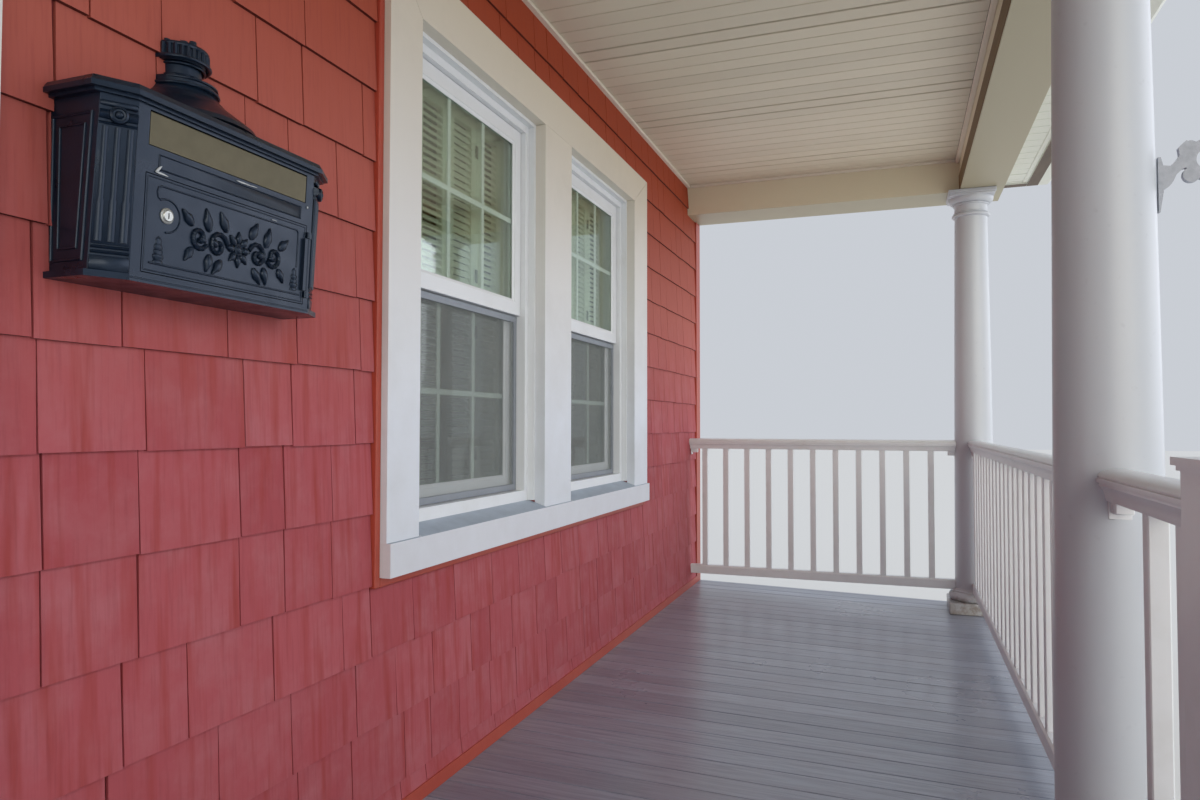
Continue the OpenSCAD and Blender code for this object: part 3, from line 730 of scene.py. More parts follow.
LEAF = 0.1825
LEAF_JOINT = LEAF + 0.002
SLAT_PITCH = 0.0225
leaf_middles = [window + i * LEAF_JOINT for window in WINDOWS for i in (-1.5, -0.5, 0.5, 1.5)]
one = board("slat", (-LEAF / 2 + 0.0335, -0.0135, -0.003), (LEAF / 2 - 0.0335, 0.0135, 0.003), 0)
bevel_edges(one, lambda mid, way: abs(way.x) > 0.9, 0.0026, 1)
fields = ((SILL + SILL_RISE + 0.100, MEETING - 0.025), (MEETING + 0.025, HEAD - 0.085))
random.seed(21)
slat_places = []
for middle in leaf_middles:
    for low, high in fields:
        tilt = math.radians(random.choice((58, 61, 60, 45)))
        fitted = int((high - low) / SLAT_PITCH)
        spare = (high - low - fitted * SLAT_PITCH) / 2
        for i in range(fitted):
            middle_of_slat = (middle, WALL_FACE + 0.131, low + spare + (i + 0.5) * SLAT_PITCH)
            slat_places.append(Matrix.Translation(middle_of_slat) @ Matrix.Rotation(tilt, 4, "X"))
slats = repeated("shutter_slats", one, slat_places)
add_piece(slats, shutter_cream)

STOP_FRONT, STOP_BACK = WALL_FACE + 0.1425, WALL_FACE + 0.1455
FRAME_FRONT, FRAME_BACK, FRAME_HALF = WALL_FACE + 0.111, WALL_FACE + 0.1495, 0.405
stops = []
for window in WINDOWS:
    for x in (window - LEAF_JOINT, window, window + LEAF_JOINT):
        corner = (x - 0.007, STOP_FRONT, SILL + 0.068)
        stops.append(board("stop", corner, (x + 0.007, STOP_BACK, HEAD - 0.041), 0))
    corner = (window - FRAME_HALF, FRAME_FRONT, SILL + 0.025)
    stops.append(frame_of("hanging_frame", corner, (window + FRAME_HALF, FRAME_BACK, HEAD - 0.001), 0.035))
shutter_stops = joined("shutter_frames_and_stops", stops)
add_piece(shutter_stops, shutter_cream)

# A dark cloth hung behind each pair is painted shade: it stands for the dark room, blocks the light, and shows
# black between the slats.
one = board("cloth", (-0.385, WALL_FACE + 0.1460, SILL + 0.050), (0.385, WALL_FACE + 0.1472, HEAD - 0.020), 0)
room_shade_cloths = repeated("room_shade_cloths", one, AT_WINDOWS)
room_shade_cloth, place = new_material("painted_room_shade_cloth")
weave = noise(room_shade_cloth, place, 260.0, 2.0)
folds = noise(room_shade_cloth, place, 5.0, 3.0)
tone = blend(room_shade_cloth, folds, "#191B1A", "#262927")
rough = bumps(room_shade_cloth, weave, 0.3, 0.0008)
coat(room_shade_cloth, tone, 0.95, {"Normal": rough})
add_piece(room_shade_cloths, room_shade_cloth)

bronze = {"Metallic": 1.0}
hinge_dark = two_tone("dark_bronze_shutter_hinge", (160.0, 3.0), "#34332E", "#4A4840", 0.45, bronze)
hinge_heights = [z for low, high in fields for z in (low + 0.07, high - 0.07)]
HINGE_FRONT, HINGE_BACK = WALL_FACE + 0.1175, WALL_FACE + 0.1199
hinges = []
for x in (window + side * LEAF_JOINT for window in WINDOWS for side in (-1, 1)):
    for z in hinge_heights:
        corner = (x - 0.009, HINGE_FRONT, z - 0.022)
        hinges.append(board("hinge", corner, (x + 0.009, HINGE_BACK, z + 0.022), 0.001))
shutter_hinges = joined("shutter_hinges", hinges)
add_piece(shutter_hinges, hinge_dark)


# Window sill tops
# The sloped timber sills under each pair, primed once and since greyed by rain where the paint has gone.
# White on the front edge and the apron, dull blue grey with stains on the slope.

sill_paint, place = new_material("weathered_sill_paint")
normal = add_node(sill_paint, "NewGeometry").outputs["Normal"]
upward = component(sill_paint, normal, "Z")
slope = ramp(sill_paint, upward, 0.7, 0.9, 0.0, 1.0)
stain = noise(sill_paint, place, 14.0, 6.0, 0.65)
grey = blend(sill_paint, stain, "#94A0B0", "#BCC9D8")
white = blend(sill_paint, stain, "#E2E6EE", "#D8DAE0")
tone = blend(sill_paint, slope, white, grey)
coat(sill_paint, tone, 0.5)
dress(sill_paint, "window_sills")


# Columns
# Turned round columns with a slight swell, on a round and square base, under a ringed neck and a square cap.
# Smooth factory coated white with small scuffs, dusty at the foot and splashed brown just over the deck.


def outline(name, points):
    """A line of edges through these points, made by extruding a single vertex."""
    clear_selection()
    bpy.ops.mesh.primitive_plane_add(size=0.001, location=points[0])
    piece = bpy.context.object
    piece.name = name
    bpy.ops.object.transform_apply(location=True)
    bpy.ops.object.mode_set(mode="EDIT")
    bpy.ops.mesh.select_all(action="SELECT")
    bpy.ops.mesh.select_mode(type="VERT")
    bpy.ops.mesh.select_all(action="SELECT")
    bpy.ops.mesh.merge(type="CENTER")
    for a, b in zip(points, points[1:]):
        bpy.ops.mesh.extrude_region_move(TRANSFORM_OT_translate={"value": [q - p for p, q in zip(a, b)]})
    return piece


def closed_up(piece):
    """Welds doubled vertices, turns all faces outward and leaves edit mode."""
    bpy.ops.mesh.select_all(action="SELECT")
    bpy.ops.mesh.remove_doubles(threshold=0.00002)
    bpy.ops.mesh.normals_make_consistent(inside=False)
    bpy.ops.object.mode_set(mode="OBJECT")
    return piece


def turned(name, profile, steps=64, angle=2 * math.pi):
    """A body turned about the Z axis from radius and height pairs."""
    piece = outline(name, [(r, 0, z) for r, z in profile])
    bpy.ops.mesh.select_all(action="SELECT")
    bpy.ops.mesh.spin(steps=steps, angle=angle, center=(0, 0, 0), axis=(0, 0, 1))
    return closed_up(piece)


def arc(centre, radius, start, end, count):
    """Points along part of a circle, angles in degrees."""
    angles = [math.radians(start + (end - start) * i / count) for i in range(count + 1)]
    return [(centre[0] + radius * math.cos(a), centre[1] + radius * math.sin(a)) for a in angles]


COLUMN_Y, INNER_COLUMN, END_COLUMN = -0.478, 1.700, 4.760
BASE_HIGH, SHAFT_HIGH = DECK + 0.128, DECK + 2.180
COLUMNS = (-END_COLUMN, -INNER_COLUMN, INNER_COLUMN, END_COLUMN)
column_places = [Matrix.Translation((x, COLUMN_Y, 0)) for x in COLUMNS]

plinth = board("plinth", (-0.140, -0.140, DECK), (0.140, 0.140, DECK + 0.062), 0.004)
ring = [(0, DECK + 0.061), (0.120, DECK + 0.061), (0.122, DECK + 0.065)]
ring += arc((0.1125, DECK + 0.0845), 0.0240, -65, 78, 14)
ring += [(0.1165, DECK + 0.1095), (0.1165, DECK + 0.1165)] + arc((0.1165, DECK + 0.1255), 0.009, 270, 188, 5)
ring += [(0.1055, DECK + 0.128), (0, DECK + 0.128)]
torus = turned("torus", ring)
column_bases = repeated("turned_column_bases", joined("base", [plinth, torus]), column_places)

shaft_line = [(0, BASE_HIGH)]
for i in range(17):
    t = i / 16
    shaft_line.append((0.1040 - 0.020 * (0.62 * t + 0.38 * t * t), BASE_HIGH + (SHAFT_HIGH - BASE_HIGH) * t))
shaft_line.append((0, SHAFT_HIGH))
column_shafts = repeated("turned_column_shafts", turned("shaft", shaft_line), column_places)

low = SHAFT_HIGH
neck = [(0, low), (0.0838, low), (0.086, low + 0.0015)] + arc((0.0895, low + 0.0105), 0.0088, -80, 80, 8)
neck += [(0.0880, low + 0.0205)] + arc((0.0865, low + 0.0245), 0.0045, -60, 80, 5)
neck += [(0.0848, low + 0.0305), (0.0845, low + 0.062), (0.0865, low + 0.066)]
neck += arc((0.0880, low + 0.0705), 0.0048, -80, 80, 6)
neck += [(0.0905, low + 0.0765)] + arc((0.0870, low + 0.1040), 0.0290, -72, 0, 9)
neck += [(0.1165, low + 0.1085), (0, low + 0.1085)]
capital = turned("neck", neck)
abacus_low = board("abacus_low", (-0.1165, -0.1165, low + 0.108), (0.1165, 0.1165, low + 0.121), 0.0035)
abacus = board("abacus", (-0.121, -0.121, low + 0.119), (0.121, 0.121, low + 0.140), 0.0030)
whole = joined("capital", [capital, abacus_low, abacus])
column_capitals = repeated("turned_column_capitals", whole, column_places)

column_white, place = new_material("smooth_coated_column_white")
drift = noise(column_white, place, 3.5, 5.0, 0.6)
scuff = noise(column_white, place, 46.0, 3.0)
marks = ramp(column_white, scuff, 0.66, 0.8, 0.0, 0.3)
height = component(column_white, place, "Z")
foot = ramp(column_white, height, 0.57, 0.95, 0.3, 0.0)
tone = blend(column_white, drift, "#B9C0CA", "#C2C7CE")
tone = blend(column_white, foot, tone, "#B9B6AE")
tone = blend(column_white, marks, tone, "#9DA1AB")
splash = noise(column_white, place, 19.0, 6.0, 0.7)
near_deck = ramp(column_white, height, 0.745, 0.600, 0.0, 0.42)
wet = add_node(column_white, "Math", {0: splash, 1: near_deck}, operation="ADD")
grime = ramp(column_white, wet, 0.72, 0.98, 0.0, 0.75)
tone = blend(column_white, grime, tone, "#6F5F4C")
coat(column_white, tone, 0.36)
replaced = {"column_bases": column_bases, "column_shafts": column_shafts, "column_capitals": column_capitals}
for name, piece in replaced.items():
    add_piece(piece, column_white, smooth=38)
    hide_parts(name)


# Railings
# White extruded vinyl: a crowned handrail with grooved sides over square balusters and a bottom rail.
# Each end is scribed to its column or butts the post or the wall, and rests on a small bracket.


def moulding(name, section, start, end):
    """A straight run along X of a section given as width and height pairs."""
    piece = outline(name, [(start, y, z) for y, z in section + section[:1]])
    bpy.ops.mesh.select_all(action="SELECT")
    bpy.ops.mesh.remove_doubles(threshold=0.00002)
    bpy.ops.mesh.edge_face_add()
    bpy.ops.mesh.extrude_region_move(TRANSFORM_OT_translate={"value": (end - start, 0, 0)})
    return closed_up(piece)


RAIL_UNDER = 1.448
half = [
    (0.0, 0.0620), (0.008, 0.0618), (0.016, 0.0608), (0.0235, 0.0588), (0.0300, 0.0555), (0.0345, 0.0515),
    (0.0368, 0.0478), (0.0345, 0.0468), (0.0345, 0.0448), (0.0380, 0.0438), (0.0380, 0.0372),
    (0.0372, 0.0350), (0.0340, 0.0342), (0.0340, 0.0318), (0.0350, 0.0300), (0.0318, 0.0262),
    (0.0286, 0.0215), (0.0262, 0.0160), (0.0248, 0.0100), (0.0240, 0.0040), (0.0226, 0.0),
]
other_half = [(-y, z) for y, z in reversed(half[1:])]
handrail_section = [(y, z + RAIL_UNDER) for y, z in half + other_half]
low_half = [(0.020, 0.685), (0.022, 0.687), (0.022, 0.729), (0.0165, 0.737)]
low_section = [(-0.020, 0.685)] + low_half + [(-y, z) for y, z in reversed(low_half[1:])]


def rail_panel(name, start, end, places):
    """One balustrade panel along X at the column line."""
    pieces = [moulding("rail", section, start, end) for section in (handrail_section, low_section)]
    post = board("baluster", (-0.016, -0.016, 0.732), (0.016, 0.016, RAIL_UNDER + 0.003), 0.0022)
    pieces.append(repeated("balusters", post, [Matrix.Translation((x, 0, 0)) for x in places]))
    return joined(name, pieces)


SHAFT_SIDE, SPACING = 0.086, 0.129
spindles = [3.230 + (i - 10.5) * SPACING for i in range(22)]
long_panel = rail_panel("front_rail", INNER_COLUMN + SHAFT_SIDE, END_COLUMN - SHAFT_SIDE, spindles)
short_panel = rail_panel("stair_rail", 1.0602, INNER_COLUMN - SHAFT_SIDE, [1.197, 1.371])
spindles = [1.034 - i * SPACING for i in range(11)]
end_panel = rail_panel("end_rail", COLUMN_Y + SHAFT_SIDE, WALL_FACE - 0.004, spindles)
column_line = Matrix.Translation((0, COLUMN_Y, 0))
both_sides = [column_line, column_line @ Matrix.Rotation(math.pi, 4, "Z")]
fronts = repeated("moulded_front_rails", long_panel, both_sides)
sides = repeated("moulded_stair_side_rails", short_panel, both_sides)
quarter_turn = Matrix.Rotation(math.pi / 2, 4, "Z")
at_ends = [Matrix.Translation((x, 0, 0)) @ quarter_turn for x in (-END_COLUMN, END_COLUMN)]
ends = repeated("moulded_end_rails", end_panel, at_ends)

rail_vinyl, place = new_material("white_rail_vinyl")
smudge = noise(rail_vinyl, place, 8.0, 5.0, 0.6)
dirt = ramp(rail_vinyl, smudge, 0.5, 0.8, 0.0, 0.25)
tone = blend(rail_vinyl, dirt, "#DCDFE3", "#B5B3AC")
coat(rail_vinyl, tone, 0.3)
for piece, name in ((fronts, "front_rails"), (sides, "stair_side_rails"), (ends, "end_rails")):
    add_piece(piece, rail_vinyl, smooth=32)
    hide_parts(name)
dress(rail_vinyl, "newel_posts")
soften(0.002, 2, "newel_posts")


# Rail brackets
# Moulded brackets under the ends of the handrails, each a plate and a short arm with a screw on either side.
# The same white as the rails.

plate = board("plate", (0, -0.020, RAIL_UNDER - 0.036), (0.0045, 0.020, RAIL_UNDER + 0.001), 0.0012)
arm = board("arm", (0.003, -0.0165, RAIL_UNDER - 0.024), (0.040, 0.0165, RAIL_UNDER + 0.001), 0.0030)
head_line = [(0, 0.0155), (0.0050, 0.0155), (0.0050, 0.0172), (0.0036, 0.0186), (0.0012, 0.0188), (0, 0.0174)]
heads = []
for s in (-1, 1):
    head = turned("screw_head", head_line, 14)
    turn = Matrix.Rotation(s * math.pi / 2, 4, "X")
    head.data.transform(Matrix.Translation((0.024, 0, RAIL_UNDER - 0.011)) @ turn)
    heads.append(head)
one = joined("bracket", [plate, arm] + heads)
PLATE_OUT = 0.0945
PLATES = ((INNER_COLUMN + PLATE_OUT, 0), (END_COLUMN - PLATE_OUT, 180), (INNER_COLUMN - PLATE_OUT, 180),
          (1.0692, 0))
bracket_places = []
for s in (-1, 1):
    for x, way in PLATES:
        turn = Matrix.Rotation(math.radians(way if s > 0 else 180 - way), 4, "Z")
        bracket_places.append(Matrix.Translation((s * x, COLUMN_Y, 0)) @ turn)
    for y, way in ((COLUMN_Y + PLATE_OUT, math.pi / 2), (WALL_FACE - 0.014, -math.pi / 2)):
        bracket_places.append(Matrix.Translation((s * END_COLUMN, y, 0)) @ Matrix.Rotation(way, 4, "Z"))
rail_brackets = repeated("rail_brackets", one, bracket_places)
add_piece(rail_brackets, rail_vinyl, smooth=40)


# Front door
# Moulded door leaf with four raised panels, hung on three butt hinges, over a fluted aluminium sill.
# Brushed white like the trim, with a knob and a bolt of satin nickel.

panels = []
for s in (-1, 1):
    for low, high in ((0.828, 1.428), (1.608, 2.519)):
        bead = frame_of("panel_bead", (s * 0.055, 1.1822, low), (s * 0.339, 1.1898, high), 0.0150, 0.0050)
        raised = board("raised_field", (s * 0.085, 1.1870, low + 0.030), (s * 0.309, 1.1899, high - 0.030), 0)
        bpy.ops.object.mode_set(mode="EDIT")
        pick(raised, "FACE", lambda mid, normal: normal.y < -0.9)
        bpy.ops.mesh.inset(thickness=0.028)
        bpy.ops.transform.translate(value=(0, -0.0048, 0))
        bpy.ops.object.mode_set(mode="OBJECT")
        panels += [bead, raised]
door_panels = joined("door_panel_mouldings", panels)
add_piece(door_panels, trim_white)

latch = [
    (0, 0), (0.0330, 0), (0.0330, 0.0035), (0.0285, 0.0080), (0.0150, 0.0100), (0.0110, 0.0150),
    (0.0105, 0.0300), (0.0170, 0.0380), (0.0255, 0.0450), (0.0285, 0.0540), (0.0275, 0.0610),
    (0.0220, 0.0655), (0.0120, 0.0672), (0, 0.0675),
]
bolt = [
    (0, 0), (0.0310, 0), (0.0310, 0.0040), (0.0280, 0.0090), (0.0230, 0.0165), (0.0200, 0.0185),
    (0.0095, 0.0185), (0.0085, 0.0175), (0, 0.0175),
]
hardware = []
for profile, z in ((latch, 1.550), (bolt, 1.695)):
    one = turned("door_furniture", profile, 40)
    one.data.transform(Matrix.Translation((0.386, 1.1802, z)) @ Matrix.Rotation(math.pi / 2, 4, "X"))
    hardware.append(one)
knuckle = [(0, 0), (0.0052, 0), (0.0060, 0.0008), (0.0060, 0.0182), (0.0052, 0.0190), (0, 0.0190)]
for z in (0.860, 1.640, 2.420):
    for k in range(5):
        barrel = turned("hinge_knuckle", knuckle, 16)
        barrel.data.transform(Matrix.Translation((-0.4505, 1.1745, z + k * 0.0194)))
        hardware.append(barrel)
door_hardware = joined("door_knob_bolt_and_hinges", hardware)
nickel, place = new_material("satin_nickel_door_furniture")
# Brushed nickel plate, warm grey, dulled by handling.
brushed = stretched(nickel, place, (30.0, 30.0, 900.0))
lines = noise(nickel, brushed, 1.0, 2.0)
tone = blend(nickel, lines, "#A39D92", "#BDB8AE")
coat(nickel, tone, 0.32, {"Metallic": 1.0})
add_piece(door_hardware, nickel, smooth=35)

flutes = []
for y in (1.118, 1.130, 1.142, 1.154, 1.166):
    flutes.append(board("flute", (-0.4515, y, 0.6240), (0.4515, y + 0.0060, 0.6272), 0.0010))
sill_flutes = joined("door_sill_flutes", flutes)
mill_metal, place = new_material("weathered_aluminium_sill")
# Mill finished extrusion gone dull, scuffed where feet cross it.
along = stretched(mill_metal, place, (4.0, 90.0, 90.0))
scuff = noise(mill_metal, along, 1.0, 4.0)
tone = blend(mill_metal, scuff, "#84837F", "#A4A39F")
spread = ramp(mill_metal, scuff, 0.3, 0.7, 0.35, 0.6)
coat(mill_metal, tone, spread, {"Metallic": 0.85})
add_piece(sill_flutes, mill_metal)
dress(mill_metal, "door_sill")
soften(0.0015, 1, "front_door")


# Ceiling
# Narrow beaded boards nailed to the joists from the wall to the beam, with a moulded strip along the wall.
# Off white paint gone dusty and warm, with a dark line in every joint and a wider one at each panel's edge:
# painted shade on a dark sheet behind the boards.

ceiling_low, ceiling_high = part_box("ceiling")
GROOVE, PANEL_JOINT, PANEL_BOARDS = 0.0883, 3.565, 9
first_groove = PANEL_JOINT - math.ceil((PANEL_JOINT + ceiling_high.x) / GROOVE) * GROOVE
corner = (0, ceiling_low.y + 0.022, ceiling_low.z)
one = board("ceiling_board", corner, (GROOVE - 0.0050, ceiling_high.y, ceiling_high.z), 0)
bevel_edges(one, lambda mid, way: mid.z < ceiling_low.z + 0.001 and abs(way.y) > 0.9, 0.0035, 2)
ceiling_places = []
count = math.ceil(2 * ceiling_high.x / GROOVE) + 1
for i in range(count):
    number = round((first_groove + i * GROOVE - PANEL_JOINT) / GROOVE)
    joint = 0.0160 if number % PANEL_BOARDS in (0, 1) else 0.0030
    left, right = first_groove + i * GROOVE + joint / 2, first_groove + (i + 1) * GROOVE - 0.0015
    left, right = max(left, -ceiling_high.x), min(right, ceiling_high.x)
    if right - left < LEAST_WIDTH:
        continue
    stretch = (right - left) / (GROOVE - 0.0050)
    ceiling_places.append(Matrix.Translation((left, 0, 0)) @ Matrix.Diagonal((stretch, 1, 1, 1)))
ceiling_boards = repeated("ceiling_boards", one, ceiling_places)
backing_low = (ceiling_low.x, ceiling_low.y + 0.022, ceiling_low.z + 0.0080)
backing = board("ceiling_backing", backing_low, (ceiling_high.x, ceiling_high.y, ceiling_high.z - 0.0005), 0)

ceiling_paint, place = new_material("dusty_off_white_ceiling")
island = add_node(ceiling_paint, "NewGeometry").outputs["Random Per Island"]
drift = noise(ceiling_paint, place, 1.3, 5.0)
tone = blend(ceiling_paint, drift, "#D8D1BB", "#E1DCCB")
each = blend(ceiling_paint, island, "#F4F4F4", "#FFFFFF")
tone = add_node(ceiling_paint, "MixRGB", {"Fac": 1.0, "Color1": tone, "Color2": each}, blend_type="MULTIPLY")
coat(ceiling_paint, tone, 0.5)
add_piece(ceiling_boards, ceiling_paint)

# A dark sheet behind the boards: painted shade that shows in the joints.
joint_dark = two_tone("shaded_ceiling_joint", (30.0, 3.0), "#2E2922", "#4A4338", 0.9)
add_piece(backing, joint_dark)
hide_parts("ceiling")

CEILING_END = 4.6995
STRIP_TOP = 3.0705
corner = (-CEILING_END, WALL_FACE - 0.026, 3.058)
edging = [board("wall_strip", corner, (CEILING_END, WALL_FACE - 0.004, STRIP_TOP), 0.002)]
corner = (-CEILING_END, ceiling_low.y, 3.050)
edging.append(board("front_strip", corner, (CEILING_END, ceiling_low.y + 0.021, 3.072), 0.003))
for s in (-1, 1):
    corner = (s * 4.678, ceiling_low.y + 0.023, 3.057)
    edging.append(board("end_strip", corner, (s * CEILING_END, WALL_FACE - 0.028, STRIP_TOP), 0.002))
ceiling_edging = joined("ceiling_edge_strips", edging)
cream = two_tone("cream_painted_edge_strip", (4.0, 4.0), "#E1DAC9", "#EAE6DB", 0.4)
add_piece(ceiling_edging, cream)


# Boxed beams
# Timber beams over the columns, wrapped in bent sheet with a cream coating, seamed at the corners.
# Cream, darkened to tan with painted shade on the faces that look down.

beam_coat, place = new_material("cream_coated_beam_sheet")
drift = noise(beam_coat, place, 1.1, 5.0, 0.55)
tone = blend(beam_coat, drift, "#DDD6BA", "#E5DFC8")
normal = add_node(beam_coat, "NewGeometry").outputs["Normal"]
level = component(beam_coat, normal, "Z")
# Painted shade: the faces that look down are darkened to tan.
painted_underside_shade = ramp(beam_coat, level, -0.5, -0.9, 0.0, 1.0)
tone = blend(beam_coat, painted_underside_shade, tone, "#A8A288")
coat(beam_coat, tone, 0.38)
dress(beam_coat, "front_beam", "end_beams")
soften(0.004, 2, "front_beam", "end_beams")

inner_strip = board("beam_inner_strip", (-4.699, -0.4178, 2.893), (4.699, -0.4148, 2.980), 0.0012)
stain_and_shade, place = new_material("stained_and_painted_shade_beam_strip")
# Stained softwood left unwrapped under the ceiling's edge, its brown darkened with painted shade of the beam.
along = stretched(stain_and_shade, place, (3.0, 60.0, 60.0))
grain = noise(stain_and_shade, along, 1.0, 5.0, distortion=0.4)
tone = blend(stain_and_shade, grain, "#5A4526", "#7C6238")
coat(stain_and_shade, tone, 0.6)
add_piece(inner_strip, stain_and_shade)


# Soffit, fascia and gutters
# Short vented soffit panels between white edge channels, a stained fascia board faced in white sheet, and
# roll formed gutters on straps. White with a green grey bounce, and rain streaks down the gutter's front.

EAVE_X, EAVE_Y, BEAM_Y, SOFFIT, GUTTER_X, GUTTER_Y = 5.160, -0.820, -0.640, 3.040, 5.222, -0.882
VENT_PITCH = 0.1012
corner = (0, EAVE_Y + 0.026, SOFFIT - 0.0045)
panel = board("soffit_panel", corner, (0.0970, BEAM_Y - 0.020, SOFFIT - 0.0004), 0.0014)
panel_places = [Matrix.Translation((-EAVE_X + 0.030 + i * VENT_PITCH, 0, 0)) for i in range(102)]
narrowed = quarter_turn @ Matrix.Scale(0.98, 4, (1, 0, 0))
for i in range(17):
    for x in (EAVE_X + EAVE_Y, -4.980 + BEAM_Y):
        panel_places.append(Matrix.Translation((x, BEAM_Y + 0.010 + i * VENT_PITCH, 0)) @ narrowed)
soffit_panels = repeated("soffit_panels", panel, panel_places)
CHANNEL_BACK = SOFFIT - 0.0002
corner = (-EAVE_X, EAVE_Y, SOFFIT - 0.0075)
channels = [board("channel", corner, (EAVE_X, EAVE_Y + 0.027, CHANNEL_BACK), 0.0012)]
corner = (-4.979, BEAM_Y - 0.021, SOFFIT - 0.0070)
channels.append(board("channel", corner, (4.979, BEAM_Y - 0.001, CHANNEL_BACK), 0.0012))
for s in (-1, 1):
    for x0, x1 in ((EAVE_X - 0.027, EAVE_X), (4.981, 5.001)):
        corner = (s * x0, EAVE_Y + 0.030, SOFFIT - 0.0075)
        channels.append(board("channel", corner, (s * x1, WALL_FACE - 0.018, SOFFIT - 0.0003), 0.0012))
soffit_channels = joined("soffit_channels", channels)

# Straps across the gutters, end plates, and the bent drip edge under the first shingles.
strap = board("strap", (-0.011, 0, 0), (0.011, 0.108, 0.0022), 0.0006)
STRAP_PITCH, STRAP_LEVEL = 0.61, 3.1475
strap_places = []
for i in range(17):
    strap_places.append(Matrix.Translation((-4.88 + STRAP_PITCH * i, GUTTER_Y - 0.1095, STRAP_LEVEL)))
for x in (-GUTTER_X - 0.0015, GUTTER_X + 0.1095):
    for y in (-0.55, -0.55 + STRAP_PITCH, -0.55 + STRAP_PITCH * 2):
        strap_places.append(Matrix.Translation((x, y, STRAP_LEVEL)) @ quarter_turn)
gutter_straps = repeated("gutter_straps", strap, strap_places)
DRIP_LOW, DRIP_HIGH = 3.172, 3.2185
GUTTER_SHAPE = (
    (0.001, 0.001), (0.069, 0.001), (0.091, 0.023), (0.091, 0.053), (0.111, 0.075), (0.111, 0.099),
    (0.001, 0.099),
)
drips = [board("drip", (-5.246, -0.9062, DRIP_LOW), (5.246, -0.9024, DRIP_HIGH), 0.0008)]
for s in (-1, 1):
    corner = (s * 5.2424, -0.9020, DRIP_LOW)
    drips.append(board("drip", corner, (s * 5.2462, WALL_FACE - 0.001, DRIP_HIGH), 0.0008))
    section = [(GUTTER_Y - u, 3.055 + v) for u, v in GUTTER_SHAPE]
    outer = 5.3338 * s
    drips.append(moulding("gutter_end", section, *sorted((outer, outer - s * 0.0016))))
eave_metal = joined("drip_edges_and_gutter_ends", drips)

eave_coat, place = new_material("white_coated_eave_sheet")
# Baked enamel on aluminium sheet: a smooth satin, streaked with rain dirt from the roof.
rain = stretched(eave_coat, place, (40.0, 40.0, 2.0))
streak = noise(eave_coat, rain, 1.0, 4.0)
dirt = ramp(eave_coat, streak, 0.55, 0.85, 0.0, 0.22)
tone = blend(eave_coat, dirt, "#D3D8D1", "#A9A79C")
coat(eave_coat, tone, 0.4)
dress(eave_coat, "soffits", "gutters")
for piece in (soffit_panels, soffit_channels, eave_metal, gutter_straps):
    add_piece(piece, eave_coat)

faced_fascia, place = new_material("white_faced_fascia_board")
# White sheet on the outer face, and underneath the stained edge of the board, bare, its brown darkened with
# painted shade.
facing = add_node(faced_fascia, "NewGeometry").outputs["Normal"]
under = component(faced_fascia, facing, "Z")
# Painted shade with bare wood: the faces that look down take a dark stained brown.
bare_shaded_underside = add_node(faced_fascia, "Math", {0: under, 1: -0.5}, operation="LESS_THAN")
along = stretched(faced_fascia, place, (4.0, 40.0, 40.0))
grain = noise(faced_fascia, along, 1.0, 4.0)
wood = blend(faced_fascia, grain, "#42352A", "#6B5946")
tone = blend(faced_fascia, bare_shaded_underside, "#D3D8D1", wood)
coat(faced_fascia, tone, 0.5)
dress(faced_fascia, "fascias")


# Roof
# Asphalt tab shingles in straight courses over felt, with folded caps along the two hips.
# Bent metal flashing closes the joint between the roof and the house wall.

slope = math.atan(PITCH)
inward = math.cos(slope)
reach = (WALL_FACE - ROOF_Y) / inward
on_roof = Matrix.Translation((0, ROOF_Y, ROOF_LOW)) @ Matrix.Rotation(slope, 4, "X")
on_end = Matrix.Translation((ROOF_X, 0, ROOF_LOW)) @ quarter_turn @ Matrix.Rotation(slope, 4, "X")
TAB, TAB_SLOT, TAB_HEIGHT, EXPOSURE = 0.305, 0.006, 0.160, 0.143
FIRST_SLOT, OVERHANG, NARROWEST, SHORTEST = -5.490, 0.010, 0.02, 0.03

tab = board("roof_tab", (0, 0, 0.0035), (1, 1, 0.0085), 0)
move_points(tab, lambda co: co.y > 0.5, (0, 0, -0.0040))


def tab_between(slope_frame, left, right, low, high):
    """One tab on a slope, between two slots and two heights up the slope."""
    size = Matrix.Diagonal((right - left - TAB_SLOT, high - low, 1, 1))
    return copy_of(tab, slope_frame @ Matrix.Translation((left + TAB_SLOT / 2, low, 0)) @ size)


random.seed(21)
front_tabs, end_tabs = [], []
for course in range(16):
    low_edge = course * EXPOSURE - OVERHANG
    high_edge = min(low_edge + TAB_HEIGHT, reach - 0.002)
    if high_edge - low_edge < SHORTEST:
        continue
    shift = TAB / 2 * (course % 2) + random.uniform(-0.008, 0.008)
    half, narrow = ROOF_X - inward * max(low_edge, 0), ROOF_X - inward * high_edge
    x = FIRST_SLOT + shift
    while x < half:
        a, b = max(x, -half), min(x + TAB, half)
        if b - a > NARROWEST:
            piece = tab_between(on_roof, a, b, low_edge, high_edge)
            for s in (-1, 1):
                if max(s * a, s * b) > narrow:
                    cut_off(piece, (s * ROOF_X, ROOF_Y, 0), (s, 1, 0))
            front_tabs.append(piece)
        x += TAB
    hip = ROOF_Y + inward * low_edge
    b, width = WALL_FACE - 0.002, TAB - shift % TAB
    while b > hip:
        a = max(b - width, hip)
        if b - a > NARROWEST:
            piece = tab_between(on_end, a, b, low_edge, high_edge)
            if a < ROOF_Y + inward * high_edge:
                cut_off(piece, (ROOF_X, ROOF_Y, 0), (-1, -1, 0))
            end_tabs.append(piece)
        b, width = a, TAB
bpy.data.objects.remove(tab)
end_tabs = [piece for piece in end_tabs if piece.data.vertices]
right_tabs = joined("roof_end_tabs", end_tabs)

